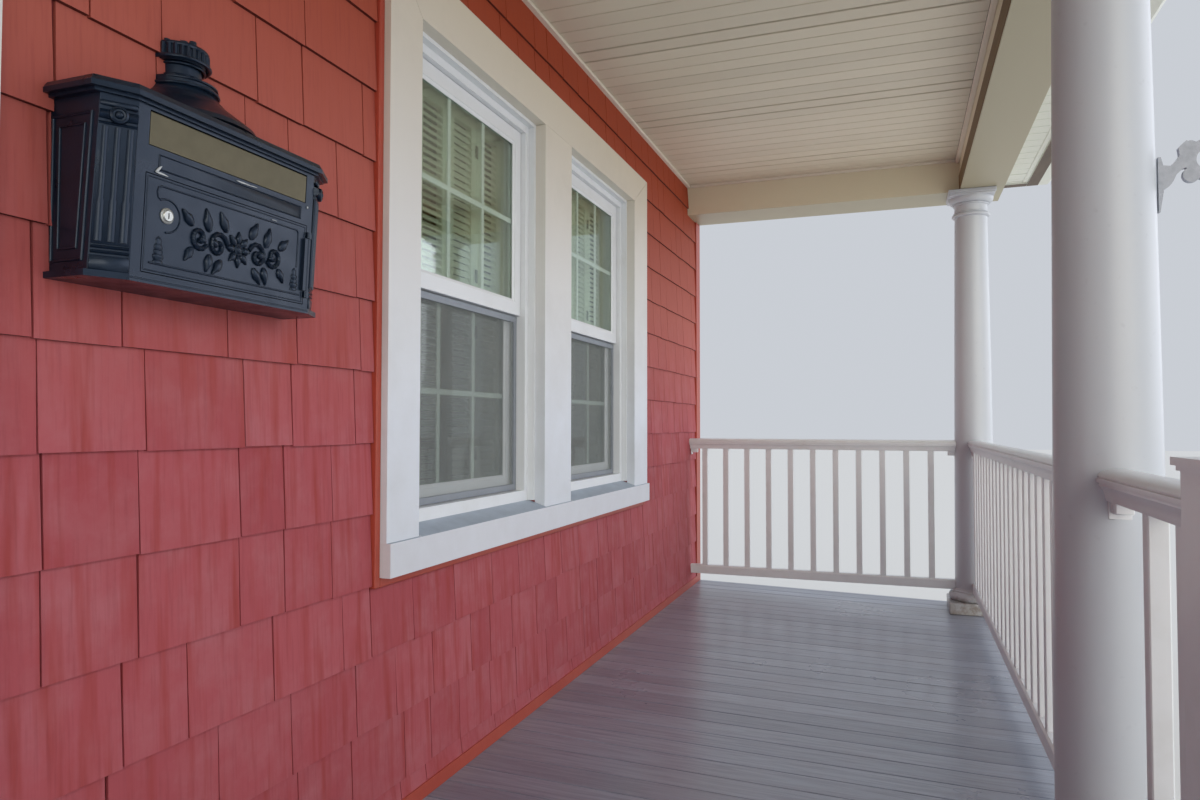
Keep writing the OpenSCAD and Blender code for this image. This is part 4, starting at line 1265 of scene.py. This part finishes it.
hip_way = Vector((-1, 1, PITCH)).normalized()
hip_across = Vector((-1, -1, 0)).normalized()
on_hip = Matrix((hip_way, hip_across, hip_way.cross(hip_across))).transposed().to_4x4()
on_hip = Matrix.Translation((ROOF_X, ROOF_Y, ROOF_LOW + 0.0085)) @ on_hip
folded = [(-0.125, -0.0270), (0, -0.0030), (0.125, -0.0270), (0.125, -0.0230), (0, 0.0015), (-0.125, -0.0230)]
cap = moulding("hip_cap", folded, 0, 0.300)
move_points(cap, lambda co: co.x < 0.001, (0, 0, 0.0055))
caps = []
for i in range(21):
    piece = copy_of(cap, on_hip @ Matrix.Translation((EXPOSURE * i - 0.015, 0, 0)))
    if i == 0:
        cut_off(piece, (ROOF_X + 0.012, 0, 0), (1, 0, 0))
        cut_off(piece, (0, ROOF_Y - 0.012, 0), (0, -1, 0))
    if i > 17:
        cut_off(piece, (0, WALL_FACE - 0.002, 0), (0, 1, 0))
    if piece.data.vertices:
        caps.append(piece)
bpy.data.objects.remove(cap)
right_side = joined("roof_right_side", [right_tabs] + caps)


def mirrored(piece):
    """The same piece on the porch's other side, with its faces turned outward again."""
    twin = copy_of(piece, Matrix.Diagonal((-1, 1, 1, 1)))
    make_active(twin)
    bpy.ops.object.mode_set(mode="EDIT")
    return closed_up(twin)


left_side = mirrored(right_side)
roof_shingles = joined("roof_shingles", [joined("roof_front_tabs", front_tabs), right_side, left_side])

asphalt, place = new_material("mineral_coated_asphalt_shingle")
# Crushed mineral on asphalt: matt, speckled in greys and browns. Its 1 mm grit is drawn as 3 mm to show.
island = add_node(asphalt, "NewGeometry").outputs["Random Per Island"]
grit = add_node(asphalt, "TexVoronoi", {"Vector": place, "Scale": 330.0})
patch = noise(asphalt, place, 14.0, 5.0)
tone = blend(asphalt, island, "#45413E", "#68625C")
tone = blend(asphalt, patch, tone, "#534E4A")
speck = add_node(asphalt, "SeparateColor", {"Color": grit.outputs["Color"]}).outputs["Red"]
light = ramp(asphalt, speck, 0.55, 1.0, 0.0, 0.45)
tone = blend(asphalt, light, tone, "#8C857B")
rough = bumps(asphalt, speck, 0.5, 0.0015)
coat(asphalt, tone, 0.92, {"Normal": rough})
add_piece(roof_shingles, asphalt)

# Black felt over planed boards, seen only at the cut ends of the roof.
felt = two_tone("felt_over_roof_boards", (9.0, 4.0), "#2A2826", "#3A3734", 0.85)
dress(felt, "roof_front", "roof_ends")

wall_corner = (ROOF_X - 4.980) / inward
back, front = WALL_FACE - 0.0030, WALL_FACE - 0.0050
flashings = [board("wall_leg", (-3.205, front, ROOF_HIGH), (3.205, back, ROOF_HIGH + 0.034), 0)]
leaf_front = board("roof_leg", (-3.190, reach - 0.085, 0.0086), (3.190, reach - 0.003, 0.0100), 0)
leaf_front.data.transform(on_roof)
flashings.append(leaf_front)
side_leaf = board("side_leaf", (WALL_FACE - 0.085, wall_corner - 0.02, 0.0086),
                  (WALL_FACE - 0.006, reach, 0.0100), 0)
side_leg = board("side_leg", (front, wall_corner, 0.0), (back, reach, 0.034), 0)
for piece in (side_leaf, side_leg):
    piece.data.transform(on_end)
    flashings += [piece, mirrored(piece)]
roof_flashing = joined("roof_flashing", flashings)
zinc, place = new_material("dull_galvanised_flashing")
# Galvanised sheet gone dull: pale grey with soft cloudy spangle.
spangle = add_node(zinc, "TexVoronoi", {"Vector": place, "Scale": 55.0})
haze = noise(zinc, place, 6.0, 4.0)
grey = add_node(zinc, "SeparateColor", {"Color": spangle.outputs["Color"]}).outputs["Red"]
tone = blend(zinc, grey, "#8D9193", "#A7ABAD")
tone = blend(zinc, haze, tone, "#979A9A")
coat(zinc, tone, 0.5, {"Metallic": 0.7})
add_piece(roof_flashing, zinc)


# Scroll bracket
# Cast aluminium, painted pale grey, screwed to the street side of one column for a hanging basket.
# Worn to a mottled blue grey, with a rounded edge all round.

bracket_paint, place = new_material("pale_grey_painted_casting")
mottle = noise(bracket_paint, place, 60.0, 5.0, 0.65)
pits = noise(bracket_paint, place, 420.0, 2.0)
tone = blend(bracket_paint, mottle, "#848B96", "#C3C8D2")
rough = bumps(bracket_paint, pits, 0.4, 0.0006)
coat(bracket_paint, tone, 0.5, {"Normal": rough})
dress(bracket_paint, "scroll_bracket")
soften(0.0030, 3, "scroll_bracket")


# Letter box
# Cast aluminium box, lid and door with raised mouldings, painted black with a worn satin sheen.
# It leans out a little toward the top, and hangs on two screws through its back.

BOX_X, BOX_FLOOR, BOX_FRONT = 0.892, 1.812, WALL_FACE - 0.116
# The front leans out 15 mm over its height. Its frame has X along it, -Y out of it and Z up it.
BOX_HIGH, BOX_LEAN = 0.273, 0.015
lean = Matrix.Rotation(math.atan(BOX_LEAN / BOX_HIGH), 4, "X")
on_front = Matrix.Translation((BOX_X, BOX_FRONT, BOX_FLOOR)) @ lean


def face_frame(foot, along, up):
    """The like frame of another face, from a point on it and its two directions."""
    along, up = Vector(along).normalized(), Vector(up).normalized()
    return Matrix.Translation(foot) @ Matrix((along, up.cross(along), up)).transposed().to_4x4()


def put(pieces, frame_matrix):
    """Carries pieces that were made upright at the origin onto a face."""
    for piece in pieces:
        piece.data.transform(frame_matrix)
    return pieces


def rod(radius, length, sides=8):
    """A cylinder along Z about the origin."""
    clear_selection()
    bpy.ops.mesh.primitive_cylinder_add(vertices=sides, radius=radius, depth=length)
    return bpy.context.object


def stretch_points(piece, test, factors):
    """Scales the vertices of the active piece that pass the test, about the origin."""
    bpy.ops.object.mode_set(mode="EDIT")
    pick(piece, "VERT", test)
    bpy.ops.transform.resize(value=factors, center_override=(0, 0, 0))
    bpy.ops.object.mode_set(mode="OBJECT")


def bead_line(points, width, height):
    """A round topped bead along these points of the XZ plane, as wide and as high as given."""
    pieces = []
    for (x0, z0), (x1, z1) in zip(points, points[1:]):
        bead = rod(width / 2, math.hypot(x1 - x0, z1 - z0) + width * 0.6)
        middle = Matrix.Translation(((x0 + x1) / 2, 0, (z0 + z1) / 2))
        flattened = Matrix.Diagonal((1, 2 * height / width, 1, 1))
        bead.data.transform(middle @ flattened @ Matrix.Rotation(math.atan2(x1 - x0, z1 - z0), 4, "Y"))
        pieces.append(bead)
    return pieces


def boss(profile, x, z, steps=20):
    """A round boss from radius and height pairs, standing out of the XZ plane."""
    piece = turned("boss", profile, steps)
    piece.data.transform(Matrix.Translation((x, 0, z)) @ Matrix.Rotation(math.radians(90), 4, "X"))
    return piece


def rectangle(left, right, low, high):
    """The corners of an upright rectangle, ending on the first."""
    return [(left, low), (left, high), (right, high), (right, low), (left, low)]


def trimmed(pieces):
    """Cuts off what lies more than 2.5 mm behind the XZ plane."""
    for piece in pieces:
        cut_off(piece, (0, 0.0025, 0), (0, 1, 0))
    return pieces


# The raised panel between the slot and the door, and the bead along the foot.
mouldings = bead_line(rectangle(-0.158, 0.166, 0.181, 0.2035), 0.0026, 0.0014)
mouldings.append(board("frieze", (-0.157, -0.0009, 0.182), (0.165, 0.0005, 0.2025), 0.0004))
mouldings += bead_line([(-0.198, 0.0055), (0.198, 0.0055)], 0.0055, 0.0022)
put(mouldings, on_front)

# On each cut corner a pilaster: a foot, three bands, three flutes that swell lower down, a volute, a fillet.
# On each side a sunk panel in two beads, given as the places of its upright back and of its sloping front.
volute = [
    (0, 0.002), (0.0120, 0.002), (0.0135, 0.0065), (0.0125, 0.0105), (0.0095, 0.0120), (0.0088, 0.0092),
    (0.0062, 0.0090), (0.0052, 0.0118), (0.0030, 0.0136), (0, 0.0140),
]
SIDE_BEADS = ((0.012, 0.076, 0.092, 0.026, 0.245, 0.0044), (0.026, 0.064, 0.078, 0.044, 0.229, 0.0036))
for side in (-1, 1):
    foot = Vector((BOX_X + side * 0.2225, WALL_FACE - 0.1005, BOX_FLOOR))
    head = Vector((BOX_X + side * 0.2225, WALL_FACE - 0.1190, BOX_FLOOR + BOX_HIGH))
    pilaster = [
        board("pilaster_field", (-0.0255, -0.0020, 0.050), (0.0255, 0.001, 0.238), 0.0008),
        board("pilaster_foot", (-0.0265, -0.0030, 0.010), (0.0265, 0.001, 0.033), 0.0010),
        board("volute_fillet", (-0.0250, -0.0045, 0.2555), (0.0250, 0.001, 0.2635), 0.0012),
    ]
    for x in (-0.0165, 0.0, 0.0165):
        pilaster += bead_line([(x, 0.058), (x, 0.112)], 0.0130, 0.0052)
        pilaster += bead_line([(x, 0.118), (x, 0.222)], 0.0105, 0.0048)
    for z in (0.0385, 0.0460, 0.2300):
        pilaster += bead_line([(-0.0235, z), (0.0235, z)], 0.0055, 0.0040)
    pilaster += bead_line([(-0.0205, 0.243), (0.0205, 0.243)], 0.0165, 0.0085)
    pilaster.append(boss(volute, 0.0, 0.243))
    mouldings += put(trimmed(pilaster), face_frame(foot, (0.046, 0.031 * side, 0), head - foot))
    panel = []
    for back, low_front, high_front, low, high, width in SIDE_BEADS:
        back, low_front, high_front = [-side * value for value in (back, low_front, high_front)]
        corners = [(back, low), (back, high), (high_front, high), (low_front, low), (back, low)]
        panel += bead_line(corners, width, width * 0.6)
    side_face = face_frame((BOX_X + side * 0.2455, WALL_FACE, BOX_FLOOR), (0, side, 0), (0, 0, 1))
    mouldings += put(panel, side_face)
box_mouldings = joined("letter_box_mouldings", mouldings)

# The back plate, with a bead round it and the two screws that hold the box to the wall.
screw = [(0, 0), (0.0062, 0), (0.0062, 0.0030), (0.0050, 0.0046), (0.0015, 0.0050), (0, 0.0036)]
back = [board("back_plate", (-0.2408, -0.0020, 0.0052), (0.2408, 0.0, 0.2722), 0.0006)]
back += bead_line(rectangle(-0.2280, 0.2280, 0.018, 0.260), 0.0040, 0.0022)
back += [boss(screw, x, 0.205, 16) for x in (-0.120, 0.120)]
put(back, Matrix.Translation((BOX_X, WALL_FACE - 0.0142, BOX_FLOOR)))
back_plate = joined("letter_box_back_plate", back)

# The crest: rings round the bell and the neck, upright ribs round the crown, and leaves in front of its peak.
# Each ring has its radius, its height, half its thickness and how far it leans with the bell.
RINGS = (
    (0.0600, 2.1875, 0.0028, 0.003), (0.0575, 2.1985, 0.0022, 0.003), (0.0385, 2.2085, 0.0022, 0.006),
    (0.0385, 2.2290, 0.0022, 0.006), (0.0500, 2.2350, 0.0034, 0.010), (0.0445, 2.2590, 0.0046, 0.010),
)
CROWN_X = BOX_X - 0.010
crest = []
for radius, z, thick, shift in RINGS:
    ring = [(-radius * math.cos(math.pi * k / 16), -radius * math.sin(math.pi * k / 16)) for k in range(17)]
    for (x0, y0), (x1, y1) in zip(ring, ring[1:]):
        bead = rod(thick, math.hypot(x1 - x0, y1 - y0) + thick * 0.4)
        middle = Matrix.Translation((BOX_X - shift + (x0 + x1) / 2, WALL_FACE - 0.0040 + (y0 + y1) / 2, z))
        turn = Matrix.Rotation(math.atan2(y1 - y0, x1 - x0), 4, "Z") @ Matrix.Rotation(math.pi / 2, 4, "Y")
        bead.data.transform(middle @ turn)
        crest.append(bead)
for i in range(15):
    angle = math.radians(7 + 166 * i / 14)
    rib = bead_line([(0, 2.239), (0, 2.2545)], 0.0088, 0.0046)
    foot = (CROWN_X - 0.0478 * math.cos(angle), WALL_FACE - 0.0478 * math.sin(angle), 0.0015 * (i % 2))
    crest += put(rib, Matrix.Translation(foot) @ Matrix.Rotation(angle - math.pi / 2, 4, "Z"))
for i, rise in enumerate((0.0, -0.003, 0.001, 0.0065, 0.001, -0.003, 0.0)):
    angle = math.radians(12 + 156 * i / 6)
    leaf_tip = bead_line([(0, 2.252), (0, 2.2645)], 0.0125, 0.0060)
    foot = (CROWN_X - 0.036 * math.cos(angle), WALL_FACE - 0.0065 - 0.028 * math.sin(angle), rise)
    crest += put(leaf_tip, Matrix.Translation(foot))
crest_mouldings = joined("letter_box_crest_mouldings", crest)

# The door's relief: a border, a line that curls round the lock, two urns, and a leaf scroll about a rosette.
LOCK_X, LOCK_Z = -0.139, 0.112
top_line = [
    (-0.156, 0.138), (-0.158, 0.146), (-0.156, 0.1535), (-0.150, 0.1565), (0.158, 0.1565), (0.163, 0.152),
    (0.163, 0.086),
]
urn = [
    (0, 0), (0.0095, 0), (0.0100, 0.0035), (0.0080, 0.0050), (0.0095, 0.0075), (0.0110, 0.0100),
    (0.0105, 0.0130), (0.0080, 0.0150), (0.0092, 0.0175), (0.0092, 0.0200), (0.0072, 0.0215),
    (0.0085, 0.0240), (0.0088, 0.0275), (0.0068, 0.0300), (0.0062, 0.0325), (0.0070, 0.0350),
    (0.0058, 0.0390), (0.0030, 0.0425), (0, 0.0445),
]
relief = bead_line(rectangle(-0.1765, 0.1815, 0.0215, 0.1665), 0.0022, 0.0010)
relief += bead_line(top_line, 0.0032, 0.0018)
relief += bead_line(top_line[:1] + arc((LOCK_X, LOCK_Z), 0.0262, 118, -90, 13), 0.0032, 0.0018)
relief += bead_line([(-0.166, 0.0335), (0.172, 0.0335)], 0.0036, 0.0020)
for x, z in ((-0.151, 0.0345), (0.157, 0.0400)):
    flattened = Matrix.Translation((x, 0.0012, z)) @ Matrix.Diagonal((1, 0.55, 1, 1))
    relief += put([turned("urn", urn, 14)], flattened)


def leaf(x, z, angle, length, width, height):
    """A pointed leaf lying on the panel, drawn out toward its tip."""
    clear_selection()
    bpy.ops.mesh.primitive_uv_sphere_add(segments=10, ring_count=6, radius=1)
    blade = bpy.context.object
    stretch_points(blade, lambda co: co.x > 0.1, (1.0, 1.0, 0.5))
    way = math.radians(angle)
    middle = Matrix.Translation((x + math.cos(way) * length / 2, 0, z + math.sin(way) * length / 2))
    size = Matrix.Diagonal((length / 2, height, width / 2, 1))
    blade.data.transform(middle @ Matrix.Rotation(-way, 4, "Y") @ size)
    return blade


# The rosette, then on each side of it two curling stems and their leaves.
STEMS = ((0.052, 0.086, 160, -430, 0.0235), (0.098, 0.092, 215, 420, 0.0200))
LEAVES = (
    (0.030, 0.112, 60, 0.032, 0.013), (0.040, 0.064, -50, 0.030, 0.012), (0.074, 0.104, 75, 0.034, 0.013),
    (0.070, 0.070, -75, 0.028, 0.012), (0.112, 0.108, 40, 0.030, 0.012),
    (0.112, 0.074, -55, 0.026, 0.011), (0.052, 0.086, 20, 0.016, 0.010),
    (0.098, 0.092, 200, 0.014, 0.009),
)
rosette = [(0, 0), (0.0105, 0), (0.0112, 0.0022), (0.0085, 0.0036), (0.0070, 0.0028), (0.0050, 0.0046),
           (0, 0.0056)]
scroll = [boss(rosette, 0, 0.0885)]
for i in range(8):
    way = math.radians(45 * i)
    scroll.append(leaf(0.009 * math.cos(way), 0.0885 + 0.009 * math.sin(way), 45 * i, 0.024, 0.0150, 0.0056))
for flip in (-1, 1):
    for cx, cz, first, sweep, radius in STEMS:
        stem = []
        for k in range(17):
            arm = radius + (0.0045 - radius) * k / 16
            way = math.radians(first + sweep * k / 16)
            stem.append((flip * (cx + arm * math.cos(way)), cz + arm * math.sin(way)))
        scroll += bead_line(stem, 0.0080, 0.0056)
    for x, z, angle, length, width in LEAVES:
        turned_angle = angle if flip > 0 else 180 - angle
        scroll.append(leaf(flip * x, z, turned_angle, length * 1.25, width * 1.6, 0.0066))
relief += put(scroll, Matrix.Translation((0.013, 0, 0)) @ Matrix.Diagonal((0.88, 1, 1, 1)))
door_relief = joined("letter_box_door_relief", put(trimmed(relief), on_front))

# The cam lock and its key slot.
cam = [
    (0, 0), (0.0125, 0), (0.0125, 0.0018), (0.0105, 0.0030), (0.0098, 0.0024), (0.0092, 0.0040),
    (0.0080, 0.0050), (0, 0.0050),
]
lock_face = boss(cam, LOCK_X, LOCK_Z, 24)
lock_face.name = "letter_box_lock"
corner, opposite = (LOCK_X - 0.001, -0.0054, LOCK_Z - 0.0045), (LOCK_X + 0.001, -0.0042, LOCK_Z + 0.0045)
key_slot = board("letter_box_key_slot", corner, opposite, 0.0003)
put([lock_face, key_slot], on_front)

# Chips in the paint along the frieze and the corner, as place, width, height and turn.
CHIPS = (
    (-0.1600, 0.1800, 0.0150, 0.0042, -50), (-0.1550, 0.1750, 0.0220, 0.0030, 4),
    (0.0160, 0.2075, 0.0340, 0.0026, 1), (0.0400, 0.2078, 0.0140, 0.0018, 0),
    (0.1830, 0.2060, 0.0032, 0.0040, 0), (0.0950, 0.1605, 0.0120, 0.0012, 0),
)
chips = []
for x, z, wide, high, angle in CHIPS:
    chip = rod(0.5, 1, 9)
    stretch_points(chip, lambda co: co.x > 0.1 and co.y < 0.2, (1.25, 0.6, 1.0))
    laid_flat = Matrix.Diagonal((wide, 0.0016, high, 1)) @ Matrix.Rotation(math.pi / 2, 4, "X")
    turn = Matrix.Rotation(math.radians(angle), 4, "Y")
    chip.data.transform(Matrix.Translation((x, -0.0013, z)) @ turn @ laid_flat)
    chips.append(chip)
paint_chips = joined("letter_box_paint_chips", put(chips, on_front))

casting, place = new_material("satin_black_painted_casting")
# Painted sand cast aluminium: a soft broken gloss over a faintly pitted skin, clouded blue black.
pits = noise(casting, place, 330.0, 3.0)
clouds = noise(casting, place, 24.0, 5.0)
tone = blend(casting, clouds, "#08111D", "#152437")
spread = ramp(casting, clouds, 0.3, 0.7, 0.26, 0.44)
fine = bumps(casting, pits, 0.25, 0.0006)
coat(casting, tone, spread,
     {"Normal": fine, "Specular Tint": colour("#B9D0F0"), "Coat Weight": 0.25, "Coat Roughness": 0.24})
dress(casting, "letter_box", "letter_box_lid", "letter_box_door")
soften(0.0012, 2, "letter_box", "letter_box_lid", "letter_box_door")
for piece in (box_mouldings, back_plate, crest_mouldings):
    add_piece(piece, casting, smooth=45)
add_piece(door_relief, casting, body="box_door", smooth=50)

# Cast brass left to brown: a low dull shine with cleaner patches where it has been pushed.
aged_brass = two_tone("aged_brass_plate", (40.0, 5.0), "#5C5744", "#736C56", 0.5, {"Metallic": 0.4})
dress(aged_brass, "letter_flap")

# Nickel plate on zinc, turned on its face, so that it shows fine rings.
lock_metal = two_tone("worn_nickel_cam_lock", (900.0, 1.0), "#B9BBB8", "#D8DAD6", 0.35, {"Metallic": 0.8})
add_piece(lock_face, lock_metal, body="box_door", smooth=35)

slot_dark = two_tone("dark_key_slot", (300.0,), "#121316", "#1D1E22", 0.8)
add_piece(key_slot, slot_dark, body="box_door")

# Old primer and bare casting where the black has flaked, chalky and a little dirty.
primer = two_tone("chipped_pale_primer", (350.0, 3.0), "#AEB4B8", "#D3D8DA", 0.6)
add_piece(paint_chips, primer)


# Floor, light and view
# A pale floor, a soft sky and broad lamps, seen from about a metre above the deck, along the wall.
# The porch is open to the street, so most of the light comes in under the front beam.


def backdrop_strength(owner, lit, seen):
    """The strength that lights the porch, and the one that the camera, glass and metal see instead."""
    rays = add_node(owner, "LightPath").outputs
    indirect = {0: rays["Is Glossy Ray"], 1: rays["Is Transmission Ray"]}
    indirect = add_node(owner, "Math", indirect, operation="MAXIMUM")
    direct = add_node(owner, "Math", {0: rays["Is Camera Ray"], 1: indirect}, operation="MAXIMUM")
    return ramp(owner, direct, 0.0, 1.0, lit, seen)


clear_selection()
bpy.ops.mesh.primitive_plane_add(size=120, location=(0, 0, -0.002))
floor = bpy.context.object
floor.name = "studio_floor"
pale, place = new_material("pale_studio_floor")
skin = add_node(pale, "BsdfDiffuse", {"Color": colour("#D8D8D6")})
strength = backdrop_strength(pale, 0.45, 0.03)
glow = add_node(pale, "Emission", {"Color": colour("#FFF2E0"), "Strength": strength})
both = add_node(pale, "AddShader", {0: skin, 1: glow})
add_node(pale, "OutputMaterial", {"Surface": both})
dress(pale, floor)

world = bpy.data.worlds.new("soft_sky")
bpy.context.scene.world = world
world.use_nodes = True
sky = world.node_tree.nodes["Background"]
sky.inputs["Color"].default_value = colour("#EFF4FC")
strength = backdrop_strength(world, 0.88, 0.68)
world.node_tree.links.new(strength.outputs["Result"], sky.inputs["Strength"])


def lamp(name, energy, place, target, spread, tint):
    """A broad sun aimed at a point."""
    data = bpy.data.lights.new(name, "SUN")
    data.energy = energy
    data.color = colour(tint)[:3]
    data.angle = math.radians(spread)
    thing = bpy.data.objects.new(name, data)
    bpy.context.scene.collection.objects.link(thing)
    thing.location = place
    thing.rotation_euler = (Vector(target) - Vector(place)).to_track_quat("-Z", "Y").to_euler()


lamp("street_light", 1.0, (6.0, -9.0, 3.4), (0.5, 1.0, 1.2), 60, "#F2F4FF")
lamp("side_light", 1.75, (-8.0, -4.6, 2.1), (0.0, 0.0, 1.6), 50, "#FFF7E6")

camera_data = bpy.data.cameras.new("view")
camera_data.sensor_width = 36.0
camera_data.lens = 24.618
camera_data.clip_start = 0.01
camera = bpy.data.objects.new("view", camera_data)
bpy.context.scene.collection.objects.link(camera)
camera.location = (-0.23, -0.073, 1.594)
turn, rise, roll = math.radians(19.82), math.radians(1.72), math.radians(0.07)
forward = Vector((math.cos(turn) * math.cos(rise), math.sin(turn) * math.cos(rise), math.sin(rise)))
level = forward.to_track_quat("-Z", "Y").to_matrix()
camera.rotation_euler = (level @ Matrix.Rotation(roll, 3, "Z")).to_euler()
bpy.context.scene.camera = camera
bpy.context.scene.view_settings.view_transform = "Standard"
